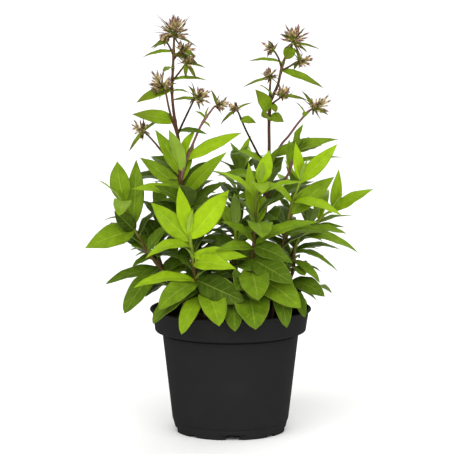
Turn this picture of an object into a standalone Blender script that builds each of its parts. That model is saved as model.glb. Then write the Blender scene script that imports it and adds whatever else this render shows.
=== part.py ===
"""A bushy garden phlox in bud, grown in a 17 cm nursery pot.

The pot's axis is the Z axis and its pads stand on z = 0. The plant is seen from the front, which is
the -Y side. Sizes are in millimetres until a mesh is made, which is in metres.
"""

import math
import random

import bmesh
import bpy
from mathutils import Vector
from mathutils.bvhtree import BVHTree

MM = 0.001
UP = Vector((0, 0, 1))
TO_VIEWER = Vector((0, -1, 0))

# The front view: places on the plant are given as they are seen from a little above the pot's rim.
EYE_TILT = math.radians(7.8)
EYE_DISTANCE = 3000.0
EYE_LEVEL = 215.0

# The pot
RIM_RADIUS = 85.0
POT_HEIGHT = 131.0
WALL = 1.5
RIM_FLAT = 1.4
RIM_ROUND = 0.9
LIP_TUCK = 0.5
LIP_DROP = 2.2
LIP_UNDER = 3.5
COLLAR_TOP_RADIUS = 82.3
COLLAR_FOOT_RADIUS = 79.7
COLLAR_FOOT = 105.0
COLLAR_ROUND = 3.2
STEP_RISE = 3.2
STEP_SLOPE = 3.0
BODY_TOP = 101.0
BODY_TOP_RADIUS = 71.4
BODY_FOOT = 14.0
BODY_FOOT_RADIUS = 61.4
FOOT_RADIUS = 57.8
FOOT_RING = 2.4
FLOOR_UNDER = 6.0
FLOOR_TOP = 8.0
FLOOR_ROUND = 2.0
POT_SIDES = 36
NOTCH_WIDTH = 12.0
NOTCH_HEIGHT = 5.4
NOTCH_TURN = math.radians(2.0)
GAP_HEIGHT = 2.5
GAP_WIDTH = 10.0
CUTTER_DEPTH = 8.0
DRAIN_RADIUS = 5.0
DRAIN_RING = 38.0
DRAIN_SIDES = 8
QUARTERS = 4

# The soil
SOIL_TOP = 113.0
SOIL_RELIEF = 2.2
SOIL_RINGS = 5
SOIL_SIDES = 30
SOIL_EDGE = 109.4
SOIL_GAP = 1.2
CLEARANCE = 0.3
HOLE_FLOOR = 97.0
STEM_FOOT = 98.0
STRAIGHT_TOP = 121.0

# A leaf blade: the places of its cross-sections along its length, with the half width there as a share
BLADE_THICK = 1.1
BLADE_FOLD = 0.2
# A blade longer and broader than this has three cross-sections past its root, and any other has two
LONG_BLADE = 42.0
BROAD_BLADE = 8.5
LONG_OUTLINE = ((0.2, 0.68), (0.48, 1.0), (0.79, 0.56))
SHORT_OUTLINE = ((0.3, 0.85), (0.68, 0.8))
ROOT_HALF = 0.8
ROOT_START = 0.6

# What a leaf tries, to stay clear of other stems' pieces: tip nearer or further, and more or less arched
DEPTH_STEPS = (0, -5, 5, -10, 10, -16, 16, -23, 23)
BOW_STEPS = (0, 4, -4, 9)
OWN_START = 0.25
TURN_STEPS = (0, 9, -9, 18, -18, 28, -28, 40, -40)
RISE_STEPS = (0, 10, -10, 20)


def place(across, up, depth):
    """The point seen `across` right of the pot's axis and `up` over its foot, `depth` behind the axis."""
    scale = 1 + depth / EYE_DISTANCE
    level = EYE_LEVEL + (up - EYE_LEVEL) * scale
    return Vector((across * scale, depth, (level - depth * math.sin(EYE_TILT)) / math.cos(EYE_TILT)))


def seen_height(point):
    """How high over the pot's foot a point is seen from the front."""
    level = point.z * math.cos(EYE_TILT) + point.y * math.sin(EYE_TILT)
    return EYE_LEVEL + (level - EYE_LEVEL) / (1 + point.y / EYE_DISTANCE)


# Stems that stand in the soil: node, place in the soil (right, back), points up the stem as seen from
# the front (across, up, depth), and the thickness at the foot and the top.
STEMS = {
    "a": ("stem_left_tall", (-22, 8), ((-28, 165, 6), (-36, 210, 4), (-43, 237, 2), (-51, 253, 0),
          (-53, 272, 0), (-53, 296, 0), (-56, 314, 0), (-59.4, 335, 0), (-61.2, 357, 0),
          (-60.3, 375, 0), (-59.4, 394, 0), (-58.8, 409, 0)), 5.0, 2.6),
    "e": ("stem_right_tall", (22, 14), ((26, 165, 16), (32, 205, 16), (37, 240, 14), (39.5, 270, 12),
          (40.4, 295, 12), (40.2, 320, 12), (40.7, 334, 12), (42.1, 346, 12), (49.1, 362, 12),
          (52, 374, 12), (56.2, 389, 12), (63.5, 402.7, 12)), 5.0, 2.6),
    "s": ("shoot_front_left", (-14, -38), ((-26.8, 140, -42), (-31, 148.6, -46), (-35.2, 156, -49),
          (-37.3, 164, -51), (-39.4, 178, -52), (-41.5, 194, -53), (-43.6, 206, -53)), 5.2, 3.4),
    "r": ("shoot_front_right", (15, -34), ((21.5, 172, -40), (22.6, 185, -42), (24.7, 196, -42),
          (24.7, 207, -42), (25.7, 220, -42), (26.8, 243, -42), (28.6, 252, -42), (32, 261, -42)),
          4.8, 2.8),
    "w": ("shoot_far_left", (-42, -8), ((-60, 153, -14), (-79.3, 178, -16), (-87.7, 188, -16),
          (-96.1, 203, -15), (-100.3, 210, -14), (-104.5, 220, -14), (-109.7, 231, -14),
          (-111.8, 240, -14)), 4.6, 2.6),
    "v": ("shoot_low_left", (-46, 16), ((-58, 150, 14), (-72, 172, 10), (-76.5, 190, 8),
          (-75, 210, 8), (-72, 226, 10)), 4.2, 2.8),
    "n": ("shoot_centre", (0, -14), ((1, 140, -18), (3, 165, -20), (5, 195, -20), (5, 214, -20)),
          4.4, 3.0),
    "p": ("shoot_right", (36, -24), ((46, 160, -24), (56, 200, -20), (61.4, 227, -18),
          (62.5, 233, -18), (66.2, 244, -18), (70.5, 255, -18), (74, 265, -18)), 4.4, 2.6),
    "q": ("shoot_far_right", (44, 20), ((56, 160, 16), (66, 188, 12), (74, 206, 8), (91.9, 221, 6),
          (100.3, 228.4, 6), (109.7, 232.5, 6)), 4.2, 2.4),
    "u": ("shoot_low_right", (52, -4), ((60, 150, -8), (66, 170, -10), (67.5, 190, -10),
          (72, 204, -10), (80, 214, -8)), 4.2, 2.6),
    "kl": ("shoot_back_left", (-28, 36), ((-36, 160, 42), (-44, 215, 50), (-50, 262, 56)), 4.2, 2.6),
    "kc": ("shoot_back_centre", (4, 44), ((6, 165, 54), (6, 225, 62), (10, 277, 68)), 4.2, 2.6),
    "kr": ("shoot_back_right", (34, 38), ((46, 160, 46), (60, 210, 52), (68, 252, 56)), 4.2, 2.6),
}

# Side stalks: the stem they leave, the height seen from the front where they do, points and thickness.
STALKS = {
    "a_purple": ("a", 263, ((-48.3, 278, -2), (-43.3, 292, -4), (-37.3, 306, -6), (-31.6, 319, -8),
                 (-26, 328, -8), (-17.3, 339.7, -8)), 3.0, 2.2),
    "a_far": ("a", 258, ((-64, 282, 6), (-77.2, 300, 8), (-88.4, 312.5, 8)), 2.6, 2.0),
    "a_upper_left": ("a", 312, ((-59.6, 322, -3), (-64, 337, -6), (-67.6, 355, -7)), 2.6, 2.0),
    "a_upper_right": ("a", 311, ((-46, 331, -6), (-38.5, 346.4, -7)), 2.4, 2.0),
    "a_high_right": ("a", 366, ((-53, 376, -5), (-48.1, 382.5, -8)), 2.2, 2.0),
    "a_top_right": ("a", 388, ((-54, 396, -6),), 2.2, 2.0),
    "a_top_left": ("a", 394, ((-65.2, 404.9, -3),), 2.2, 2.0),
    "e_dark": ("e", 258, ((34, 281, 14), (28.4, 291.4, 14), (16.6, 314.5, 12), (12.4, 324, 11),
               (7.9, 334.7, 10)), 2.6, 2.0),
    "e_fork": ("e", 338, ((41, 355, 8), (41.7, 367.6, 7)), 2.6, 2.2),
    "e_low_right": ("e", 341, ((46, 345, 7), (51, 348.5, 5)), 2.4, 2.0),
    "e_high_left": ("e", 379, ((50, 390, 9), (46.3, 396.6, 8)), 2.2, 2.0),
    "e_high_right": ("e", 377, ((62, 382, 8), (68.8, 386.4, 7)), 2.2, 2.0),
    "e_far": ("e", 272, ((51.5, 298, 10), (60.8, 309.5, 9), (70.1, 322.2, 8), (79, 332.5, 8),
              (82.8, 336.2, 8)), 2.8, 2.2),
    "e_side": ("e", 252, ((58, 266, 4), (65, 284, 1), (71, 296, 0)), 3.0, 2.4),
}

# Heads of buds: the stalk under them, the tip as seen from the front, half the width, buds, and the
# tips and widths of the small bracts under the buds.
HEADS = {
    "head_left_top": ("a", (-55, 437, 0), 15, 24,
                      ((-35.2, 402, -8, 3.5), (-79, 404, 6, 4), (-44, 410, 14, 4))),
    "head_left_second": ("a_top_left", (-74, 415.5, -5), 5.5, 7,
                         ((-83.5, 400, -8, 3.5), (-81, 399, 6, 3.5))),
    "head_left_third": ("a_top_right", (-37, 407, -12), 7, 10, ((-36.2, 391, -16, 4),)),
    "head_left_fourth": ("a_high_right", (-36.2, 395, -13), 7, 9,
                         ((-46.7, 369.5, -14, 4), (-35.9, 368, -12, 4), (-25.9, 380, -8, 3.5))),
    "head_left_fifth": ("a_upper_left", (-82.4, 379, -12), 10, 15, ((-56, 364, -14, 4),)),
    "head_left_sixth": ("a_upper_right", (-19.4, 356.5, -10), 10, 15,
                        ((-62.9, 346, -16, 5), (-44.6, 362, -10, 3.5))),
    "head_far_left": ("a_far", (-104, 323, 7), 8, 11, ((-106.2, 293.3, 2, 4), (-67.7, 329.3, 4, 4))),
    "head_centre_left": ("a_purple", (0.5, 346, -11), 6.5, 11, ((-20.5, 357.7, -10, 3),)),
    "head_centre_right": ("e_dark", (-1.6, 345, 11), 5.5, 8,
                          ((-10.6, 321.2, 8, 4), (23.2, 344, 10, 3))),
    "head_right_top": ("e", (73, 425, 12), 13, 21,
                       ((50.9, 414.9, 8, 4), (93.2, 399.3, 8, 3.5), (80.3, 395.6, 4, 4))),
    "head_right_second": ("e_high_left", (33, 406.5, 7), 6.5, 9, ((38.3, 409.2, 2, 3),)),
    "head_right_third": ("e_fork", (38.3, 382, 6), 8, 11, ((13.1, 360, 2, 4),)),
    "head_right_fourth": ("e_high_right", (88.7, 390, 6), 6.5, 11,
                          ((66, 401, 6, 3), (66, 377.8, 4, 4))),
    "head_right_fifth": ("e_low_right", (60.4, 363, 3), 9, 12, ((80.1, 346.5, -6, 5),)),
    "head_far_right": ("e_far", (106.6, 349, 8), 8.5, 13, ((74.3, 356.2, 6, 4), (102.4, 331, 4, 4))),
}

# Leaves that show from the front: height seen on the stem or stalk, then the tip (across, up, depth),
# the width, the bow of the midrib and how far the face turns to the viewer (0 to 1).
LEAVES = {
    "a": ((397, -91.7, 391, -8, 5, 3, 0.4), (394, -34, 384, -14, 7, 3, 0.5),
          (380, -70, 376, -14, 4.5, 2, 0.3), (368, -23.7, 367, -8, 5.5, 3, 0.4),
          (358, -98.6, 344, -12, 10, 4, 0.6), (356, -42.8, 354, -10, 4.5, 2, 0.3),
          (325, -102.9, 332, -8, 12.5, 5, 0.6), (314, -23.8, 311, -12, 7.5, 3, 0.4),
          (268, -64.6, 316, -24, 16.5, 4, 0.0), (269, -78.8, 316, -8, 13, 4, 0.3),
          (286, -36.4, 316.6, -8, 8, 3, 0.3), (254, -94.8, 287, 10, 16, 5, 0.7),
          (246, -104.5, 254, -22, 14, 7, 0.5), (262, -38, 303, 12, 10, 4, 0.8),
          (248, -3.7, 293, -24, 15, 4, 0.7), (272, -83.5, 288, 30, 9, 4, 0.2),
          (264, -108.7, 264, 30, 12, 5, 0.2), (236, -4, 262, -4, 12, 4, 0.5),
          (232, -84, 236, 14, 16, 6, 0.4), (214, 12, 226, 4, 17, 6, 0.5), (206, -70, 196, 8, 18, 6, 0.4),
          (188, -64, 168, -6, 18, 7, 0.4)),
    "a_purple": ((285, 12, 313, 10, 13, 5, 0.6), (327, -37.3, 335, -10, 4, 2, 0.3),
                 (328, -21.8, 341, -14, 3.5, 1, 0.2), (324, -20.9, 318, -8, 4, 1, 0.2)),
    "s": ((206, -54.1, 257, -62, 13, -2, 0.0), (206, -39.4, 233, -58, 6.5, 1, 0.0),
          (199, -83.5, 240, -40, 20, 5, 0.8), (202, -1.6, 253, -36, 24, 5, 0.85),
          (193, -89.8, 181, -76, 14, 10, 0.4), (178, -50, 194, -62, 6, 2, 0.2),
          (176, 5.8, 170, -78, 17, 8, 0.5), (184, 17.3, 183, -58, 13, 6, 0.5),
          (156, -102.4, 150, -74, 14, 10, 0.4), (158, -24.7, 169, -62, 7, 2, 0.2),
          (155, -76, 127, -92, 18, 9, 0.5), (147, -82, 112, -84, 14, 11, 0.4),
          (142, -44.6, 151, -66, 6, 2, 0.2), (142, -12.1, 109.7, -103, 20, 12, 0.35),
          (138, -52, 101, -102, 13, 13, 0.3), (159, 14.2, 136, -74, 22, 6, 0.8),
          (140, -47, 129, -58, 11, 4, 0.3)),
    "n": ((172, 29, 168, -52, 13, 5, 0.5), (138, 4.7, 104, -102, 18, 14, 0.4),
          (142, -2.6, 118, -92, 15, 11, 0.5), (214, 4, 250, -34, 11, 3, 0.2),
          (212, -14, 240, 6, 13, 4, 0.6), (196, 36, 216, -6, 15, 5, 0.5), (194, -34, 200, 8, 17, 6, 0.5),
          (176, 44, 190, -14, 16, 6, 0.5), (166, -30, 172, -2, 18, 6, 0.5)),
    "r": ((260, 40.4, 294.5, -36, 14, 3, 0.5), (261, 34, 283, -48, 6, 1, 0.1),
          (259, 27, 276, -36, 6, 1, 0.2), (256, 33, 250, -82, 13, 6, 0.0),
          (244, -15.2, 272.5, -60, 12, 5, 0.35), (244, 77.2, 261, -64, 12, 6, 0.35),
          (218, 18.9, 282, -20, 13, 4, 0.7), (216, 36, 247, -18, 13, 4, 0.5),
          (214, 33, 203, -94, 19, 9, 0.0), (196, 94, 219.5, -60, 15, 8, 0.45),
          (196, -10, 220, -60, 12, 6, 0.4), (192, -16.3, 189, -62, 12, 6, 0.5),
          (143, 26.3, 106, -104, 26, 12, 0.5), (169, 29.4, 137, -102, 22, 8, 0.45),
          (164, 74, 129, -94, 23, 8, 0.6), (194, 65.6, 176, -66, 19, 6, 0.7),
          (180, 65.6, 155, -84, 21, 6, 0.7)),
    "w": ((240, -118.7, 283, 6, 20, 4, 0.8), (239, -117, 226, -66, 17, 8, 0.0),
          (237, -140.2, 264, -22, 10, 3, 0.1), (241, -124, 257, -22, 6, 1, 0.1),
          (215, -98.7, 285, 16, 15, 5, 0.8), (211, -153, 192, -30, 20, 6, 0.6),
          (214, -127, 214, 30, 16, 5, 0.3), (222, -133, 221, 12, 9, 3, 0.1),
          (190, -128, 208, 26, 15, 6, 0.4), (188, -60, 218, -32, 14, 5, 0.5)),
    "v": ((170, -131.8, 154, -24, 12, 7, 0.5), (174, -111.8, 123, -44, 15, 8, 0.6),
          (206, -104.5, 194, -8, 12, 5, 0.4), (196, -95, 218, 22, 16, 5, 0.6),
          (182, -104.5, 170, 2, 11, 5, 0.3), (172, -38, 172, -12, 19, 5, 0.6),
          (226, -78, 262, 18, 14, 4, 0.5), (224, -50, 246, 22, 14, 4, 0.5)),
    "e": ((402, 58.1, 389, -6, 9, 2, 0.8), (385, 18.7, 387, -2, 5.5, 3, 0.3),
          (378, 97.4, 359, -8, 8, 4, 0.6), (350, 30.4, 362, -4, 5.5, 2, 0.4),
          (336, 25.7, 358, 0, 14, 3, 0.7), (343, 47.2, 334, 0, 5.5, 2, 0.3),
          (329, 55.7, 324, -2, 10, 3, 0.6), (329, 32, 330, -2, 9, 2, 0.6),
          (287, 112.9, 306, 8, 14, 6, 0.5), (276, 4.7, 295, 14, 10, 4, 0.3),
          (280, -2.6, 290, 28, 12, 5, 0.3), (266, 54, 300, 0, 9, 3, 0.3), (262, -14, 268, 22, 14, 5, 0.3),
          (240, 4, 246, -6, 14, 5, 0.5), (236, 88, 262, 30, 15, 5, 0.4), (212, 84, 214, 30, 17, 6, 0.4),
          (210, -16, 212, 22, 17, 6, 0.4), (186, -24, 184, 20, 17, 6, 0.4)),
    "e_dark": ((327, 26.8, 323, 2, 8, 2, 0.6),),
    "e_far": ((332, 67.3, 345, 4, 4, 1, 0.2), (334, 76, 329, 2, 5, 1, 0.4)),
    "e_side": ((295, 76.3, 322, -4, 12, 3, 0.2), (295, 83, 309, -2, 6.5, 1, 0.2),
               (280, 118, 287, 12, 9, 3, 0.3), (278, 61, 306, 6, 8, 2, 0.3),
               (292, 96, 300, 20, 9, 2, 0.4)),
    "p": ((264, 67.7, 303, -28, 9.5, 2, 0.0), (262, 111.8, 301, -14, 15, 4, 0.8),
          (264, 80.9, 285, -28, 5.5, 1, 0.1), (228, 108.7, 267, -6, 19, 4, 0.8),
          (241, 117, 226, -42, 12, 7, 0.4), (238, 36, 262, -30, 12, 4, 0.4),
          (206, 104, 206, -44, 15, 7, 0.4), (160, 59.3, 108, -92, 14, 13, 0.4)),
    "q": ((232, 113.4, 275, 2, 9.5, 3, 0.2), (232, 150, 254, -6, 13, 4, 0.6),
          (231, 120.2, 251, -8, 6, 1, 0.2), (214, 128.6, 226, 26, 10, 4, 0.2),
          (206, 120, 214, 12, 12, 5, 0.3), (190, 116, 190, 34, 14, 6, 0.3)),
    "u": ((206, 134.4, 187, -18, 12, 8, 0.4), (212, 122.3, 207, 4, 10, 4, 0.4),
          (199, 97, 199, 20, 9, 4, 0.1), (190, 112.9, 167, -22, 10, 6, 0.3),
          (179, 94, 155.4, -34, 12, 5, 0.4), (172, 78, 163, -30, 9, 3, 0.3),
          (157, 99.2, 141, -44, 14, 6, 0.5), (150, 78, 119, -66, 9, 8, 0.3)),
}

# Pairs of leaves on the sides that the front view hides: stem, first and last height seen from the
# front, number of pairs, compass turn of the first pair, leaf length at the foot and at the top.
PAIRS = (
    ("kc", 138, 270, 7, 75, 62, 44), ("kl", 138, 256, 6, 130, 62, 42), ("kr", 138, 246, 6, 40, 62, 42),
    ("a", 168, 218, 2, 100, 60, 54), ("e", 172, 232, 2, 80, 60, 54), ("v", 146, 222, 3, 95, 58, 42),
    ("q", 142, 222, 3, 60, 58, 44), ("w", 160, 226, 3, 110, 52, 44), ("u", 150, 196, 2, 40, 52, 46),
    ("p", 170, 214, 1, 70, 50, 50), ("n", 176, 186, 1, 90, 46, 46),
)
# Their width as a share of their length, how steeply the lowest and the highest rise, how much each
# turn, length and rise differs from the rule, and how far they arch.
PAIR_WIDTH = 0.33
LOW_RISE = -6
HIGH_RISE = 38
TURN_SPREAD = 12
RISE_SPREAD = 6
LENGTHS = (0.9, 1.08)
BOWS = (4, 9)
# Of a front stem's pairs only the leaves that point away from the viewer are grown by the rule.
HIDDEN_SIDE = -0.3
RULE_SEED = 7

# The upright leaves at the tops of the back shoots
TOP_TUFT = (("kc", 277), ("kl", 262), ("kr", 252))
TUFT_LEAVES = 4
TUFT_TURN = 45
TUFT_SPREAD = 10
TUFT_LENGTH = 34.0
TUFT_LENGTHS = (0.8, 1.1)
TUFT_WIDTH = 10.0
TUFT_RISE = 62.0
TUFT_BOW = 2.0

# A head: the core's share of its height and width, where the core is widest, and how the buds lean
HEAD_CORE = 0.45
HEAD_CORE_HALF = 0.3
CORE_WIDEST = 0.45
CORE_FOOT = 1.2
CORE_TIP = 0.8
LEAN_SPAN = 92
LEAN_TIP = 6
LEAN_POWER = 0.8
FIRST_BUD = 0.3
BUD_SPAN = 0.5
BUD_SEAT = 0.55
BUD_TURN = 0.3
BUD_LENGTHS = (0.85, 1.05)
BRACT_BOW = 1.5
BRACT_SHOW = 0.4
BUD_HALF = 1.15
BUD_FOOT = 0.5
BUD_WIDEST = 0.55
BUD_SIDES = 3
STEM_SIDES = 5
STALK_SIDES = 4
CORE_SIDES = 5

# Colours and roughness
POT_BLACK = (0.012, 0.013, 0.014)
PEAT_BROWN = (0.035, 0.022, 0.014)
LEAF_GREEN = (0.16, 0.33, 0.02)
HEAD_TAN = (0.30, 0.19, 0.10)
POT_ROUGHNESS = 0.42
PEAT_ROUGHNESS = 0.95
PLANT_ROUGHNESS = 0.55

# How far joining's leftovers may be flattened or closed: a bend, and a width in metres
FLAT_ANGLE = math.radians(0.4)
SLIVER = 0.00015


def outward(points, faces):
    """The same piece with its faces turned outwards."""
    volume = 0.0
    for face in faces:
        for i in range(1, len(face) - 1):
            a, b, c = points[face[0]], points[face[i]], points[face[i + 1]]
            volume += a.dot(b.cross(c))
    if volume < 0:
        faces = [tuple(reversed(face)) for face in faces]
    return points, faces


def tube(path, radii, sides):
    """A closed stem with a ring of points at each point of its path."""
    points, faces = [], []
    across = None
    for i, centre in enumerate(path):
        before = path[max(i - 1, 0)]
        after = path[min(i + 1, len(path) - 1)]
        along = (after - before).normalized()
        if across is None:
            across = Vector((1, 0, 0)) if abs(along.x) < 0.9 else Vector((0, 1, 0))
        across = (across - along * across.dot(along)).normalized()
        other = along.cross(across)
        for k in range(sides):
            angle = 2 * math.pi * k / sides
            points.append(centre + (across * math.cos(angle) + other * math.sin(angle)) * radii[i])
    for i in range(len(path) - 1):
        for k in range(sides):
            low, high = i * sides, (i + 1) * sides
            nxt = (k + 1) % sides
            faces.append((low + k, low + nxt, high + nxt))
            faces.append((low + k, high + nxt, high + k))
    last = (len(path) - 1) * sides
    faces.append(tuple(reversed(range(sides))))
    faces.append(tuple(range(last, last + sides)))
    return outward(points, faces)


def blade(base, tip, width, bow, show, spare=0.0):
    """A leaf folded a little along its midrib, arched by bow, and turned to the viewer by show."""
    along = (tip - base).normalized()
    base = base + along * ROOT_START
    chord = tip - base
    face_up = UP - along * UP.dot(along)
    face_viewer = TO_VIEWER - along * TO_VIEWER.dot(along)
    normal = (face_up * (1 - show) + face_viewer * show).normalized()
    side = along.cross(normal)
    full = chord.length > LONG_BLADE and width > BROAD_BLADE
    outline = LONG_OUTLINE if full else SHORT_OUTLINE
    thick = BLADE_THICK + 2 * spare
    rows = [(0.0, min(ROOT_HALF, width / 4))]
    rows += [(share, half * width / 2) for share, half in outline]
    points = []
    for share, half in rows:
        middle = base + chord * share + normal * (bow * 4 * share * (1 - share))
        lift = normal * (half * BLADE_FOLD)
        edge = half + spare
        points += [middle + side * edge + lift, middle + normal * (thick / 2),
                   middle - side * edge + lift, middle - normal * (thick / 2)]
    points.append(tip + along * spare)
    faces = [(0, 3, 1), (1, 3, 2)]
    for i in range(len(rows) - 1):
        a, b = 4 * i, 4 * i + 4
        faces += [(a, a + 1, b + 1), (a, b + 1, b), (a + 2, b + 1, a + 1), (a + 2, b + 2, b + 1),
                  (a, b + 3, a + 3), (a, b, b + 3), (a + 2, a + 3, b + 3), (a + 2, b + 3, b + 2)]
    end, last = len(points) - 1, 4 * (len(rows) - 1)
    faces += [(last + k, last + (k + 1) % 4, end) for k in range(4)]
    return outward(points, faces)


def bud(root, direction, length, half):
    """A slender pointed calyx, fullest near its middle."""
    side = direction.orthogonal().normalized()
    other = direction.cross(side)
    points = []
    for share, thickness in ((0.0, half * BUD_FOOT), (BUD_WIDEST, half)):
        for k in range(BUD_SIDES):
            angle = 2 * math.pi * k / BUD_SIDES
            offset = (side * math.cos(angle) + other * math.sin(angle)) * thickness
            points.append(root + direction * (length * share) + offset)
    points.append(root + direction * length)
    tip = len(points) - 1
    faces = [tuple(reversed(range(BUD_SIDES)))]
    for k in range(BUD_SIDES):
        n = (k + 1) % BUD_SIDES
        low, high = BUD_SIDES + k, BUD_SIDES + n
        faces += [(k, n, high), (k, high, low), (low, high, tip)]
    return outward(points, faces)


class Garden:
    """Remembers the pieces of every node, so that new ones can be kept clear of the others'."""

    def __init__(self):
        self.pieces = {}
        self.trees = []

    def crossings(self, node, piece, own=False):
        """How many pieces of the other nodes, or of its own where own is set, a piece crosses."""
        tree, low, high = bounded_tree(piece)
        count = 0
        for other, other_tree, other_low, other_high in self.trees:
            if (other == node) != own:
                continue
            if any(low[i] > other_high[i] or high[i] < other_low[i] for i in range(3)):
                continue
            if tree.overlap(other_tree):
                count += 1
        return count

    def add_best_leaf(self, node, tries):
        """Adds the first leaf that is clear of the other nodes and crosses its own least, if any is."""
        best = None
        for base, tip, width, bow, show in tries:
            if self.crossings(node, blade(base, tip, width, bow, show, CLEARANCE)):
                continue
            outer_part = blade(base.lerp(tip, OWN_START), tip, width, bow, show)
            own = self.crossings(node, outer_part, True)
            if best is None or own < best[0]:
                best = (own, blade(base, tip, width, bow, show))
            if own == 0:
                break
        if best:
            self.add(node, best[1])
        return best is not None

    def add(self, node, piece):
        self.trees.append((node, *bounded_tree(piece)))
        self.pieces.setdefault(node, []).append(piece)


def bounded_tree(piece):
    """A piece's tree for overlap tests, with its lowest and highest corners."""
    points, faces = piece
    low = [min(p[i] for p in points) for i in range(3)]
    high = [max(p[i] for p in points) for i in range(3)]
    return BVHTree.FromPolygons(points, faces), low, high


def stem_paths():
    """The path of each stem and stalk, by name, with its node, thickness and number of sides."""
    paths = {}
    for name, (node, (x, y), points, thick, thin) in STEMS.items():
        path = [Vector((x, y, STEM_FOOT)), Vector((x, y, STRAIGHT_TOP))]
        path += [place(*point) for point in points]
        paths[name] = (node, path, thick, thin, STEM_SIDES)
    for name, (stem, height, points, thick, thin) in STALKS.items():
        node, main = paths[stem][:2]
        path = [on_path(main, height)] + [place(*point) for point in points]
        paths[name] = (node, path, thick, thin, STALK_SIDES)
    return paths


def on_path(path, height):
    """The point of a path that is seen at this height from the front."""
    for low, high in zip(path, path[1:]):
        bottom, top = seen_height(low), seen_height(high)
        if bottom <= height <= top:
            return low.lerp(high, (height - bottom) / (top - bottom))
    return path[-1] if height > seen_height(path[-1]) else path[0]


def radii_along(path, thick, thin, straight):
    """Radii that shrink evenly with length, after the straight foot that stands in the soil."""
    lengths = [0.0]
    for low, high in zip(path, path[1:]):
        lengths.append(lengths[-1] + (high - low).length)
    start = lengths[1] if straight else 0.0
    shares = [max(0.0, (length - start) / (lengths[-1] - start)) for length in lengths]
    return [(thick + (thin - thick) * share) / 2 for share in shares]


def grow_stems(garden, paths):
    for name, (node, path, thick, thin, sides) in paths.items():
        garden.add(node, tube(path, radii_along(path, thick, thin, name in STEMS), sides))


def grow_heads(garden, paths):
    """Each head is a small core round the stalk's end, with buds that stand out of it all round."""
    golden = math.pi * (3 - math.sqrt(5))
    for name, (stalk, tip, half_width, buds, bracts) in HEADS.items():
        draw = random.Random(name)
        path = paths[stalk][1]
        top = place(*tip)
        along = (top - path[-1]).normalized()
        stalk_along = (path[-1] - path[-2]).normalized()
        bend = along.cross(stalk_along).length
        base = path[-1] + along * (CLEARANCE + bend * CORE_FOOT)
        height = (top - base).length
        core = height * HEAD_CORE
        core_path = [base, base + along * core * CORE_WIDEST, base + along * core]
        core_half = half_width * HEAD_CORE_HALF
        garden.add(name, tube(core_path, (CORE_FOOT, core_half, CORE_TIP), CORE_SIDES))
        across = along.orthogonal().normalized()
        other = along.cross(across)
        for i in range(buds):
            share = i / (buds - 1)
            lean = math.radians(LEAN_SPAN * (1 - share) ** LEAN_POWER + LEAN_TIP)
            turn = i * golden + draw.uniform(-BUD_TURN, BUD_TURN)
            outwards = across * math.cos(turn) + other * math.sin(turn)
            direction = along * math.cos(lean) + outwards * math.sin(lean)
            root = base + along * core * (FIRST_BUD + BUD_SPAN * share)
            root += direction * core_half * BUD_SEAT * (1 - share)
            reach = half_width * (1 - share) + (top - root).length * share
            length = reach * draw.uniform(*BUD_LENGTHS)
            piece = bud(root, direction, length, BUD_HALF)
            if not garden.crossings(name, piece):
                garden.add(name, piece)
        seat = base + along * core * FIRST_BUD
        for across_tip, up_tip, depth_tip, width in bracts:
            settle(garden, name, seat, (across_tip, up_tip, depth_tip), width, BRACT_BOW, BRACT_SHOW)


def settle(garden, node, base, tip, width, bow, show):
    """Places a leaf seen from the front, with its tip nearer or further until the leaf is clear."""
    across, up, depth = tip
    tries = ((base, place(across, up, depth + step), width, bow + bow_step, show)
             for bow_step in BOW_STEPS for step in DEPTH_STEPS)
    if not garden.add_best_leaf(node, tries):
        print("no room for a leaf of", node, "with its tip at", tip)


def grow_leaves(garden, paths):
    for name, leaves in LEAVES.items():
        node, path = paths[name][:2]
        for height, across, up, depth, width, bow, show in leaves:
            settle(garden, node, on_path(path, height), (across, up, depth), width, bow, show)


def settle_by_rule(garden, node, base, turn, rise, length, width, bow):
    """Places a leaf by its compass turn and rise, which change in steps until the leaf is clear."""
    tries = []
    for rise_step in RISE_STEPS:
        for turn_step in TURN_STEPS:
            yaw = math.radians(turn + turn_step)
            pitch = math.radians(rise + rise_step)
            level = Vector((math.cos(yaw), math.sin(yaw), 0))
            heading = level * math.cos(pitch) + UP * math.sin(pitch)
            tries.append((base, base + heading * length, width, bow, 0.0))
    garden.add_best_leaf(node, tries)


def grow_pairs(garden, paths):
    """Opposite pairs, each a quarter turn from the pair below, and upright tufts on the back shoots."""
    draw = random.Random(RULE_SEED)
    for stem, low, high, pairs, first_turn, long, short in PAIRS:
        node, path = paths[stem][:2]
        for k in range(pairs):
            share = k / max(pairs - 1, 1)
            base = on_path(path, low + (high - low) * share)
            for half_turn in (0, 180):
                turn = first_turn + 90 * k + half_turn + draw.uniform(-TURN_SPREAD, TURN_SPREAD)
                length = (long + (short - long) * share) * draw.uniform(*LENGTHS)
                rise = LOW_RISE + (HIGH_RISE - LOW_RISE) * share + draw.uniform(-RISE_SPREAD, RISE_SPREAD)
                bow = draw.uniform(*BOWS)
                if math.sin(math.radians(turn)) < HIDDEN_SIDE and not stem.startswith("k"):
                    continue
                settle_by_rule(garden, node, base, turn, rise, length, length * PAIR_WIDTH, bow)
    for stem, height in TOP_TUFT:
        node, path = paths[stem][:2]
        for k in range(TUFT_LEAVES):
            turn = TUFT_TURN + 90 * k + draw.uniform(-TUFT_SPREAD, TUFT_SPREAD)
            length = TUFT_LENGTH * draw.uniform(*TUFT_LENGTHS)
            base = on_path(path, height)
            settle_by_rule(garden, node, base, turn, TUFT_RISE, length, TUFT_WIDTH, TUFT_BOW)


def finish(name, colour, roughness, metallic=0.0):
    """A material of one colour for one node."""
    material = bpy.data.materials.new(name)
    material.use_nodes = True
    shader = material.node_tree.nodes["Principled BSDF"]
    shader.inputs["Base Color"].default_value = (*colour, 1.0)
    shader.inputs["Roughness"].default_value = roughness
    shader.inputs["Metallic"].default_value = metallic
    material.diffuse_color = (*colour, 1.0)
    return material


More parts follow.
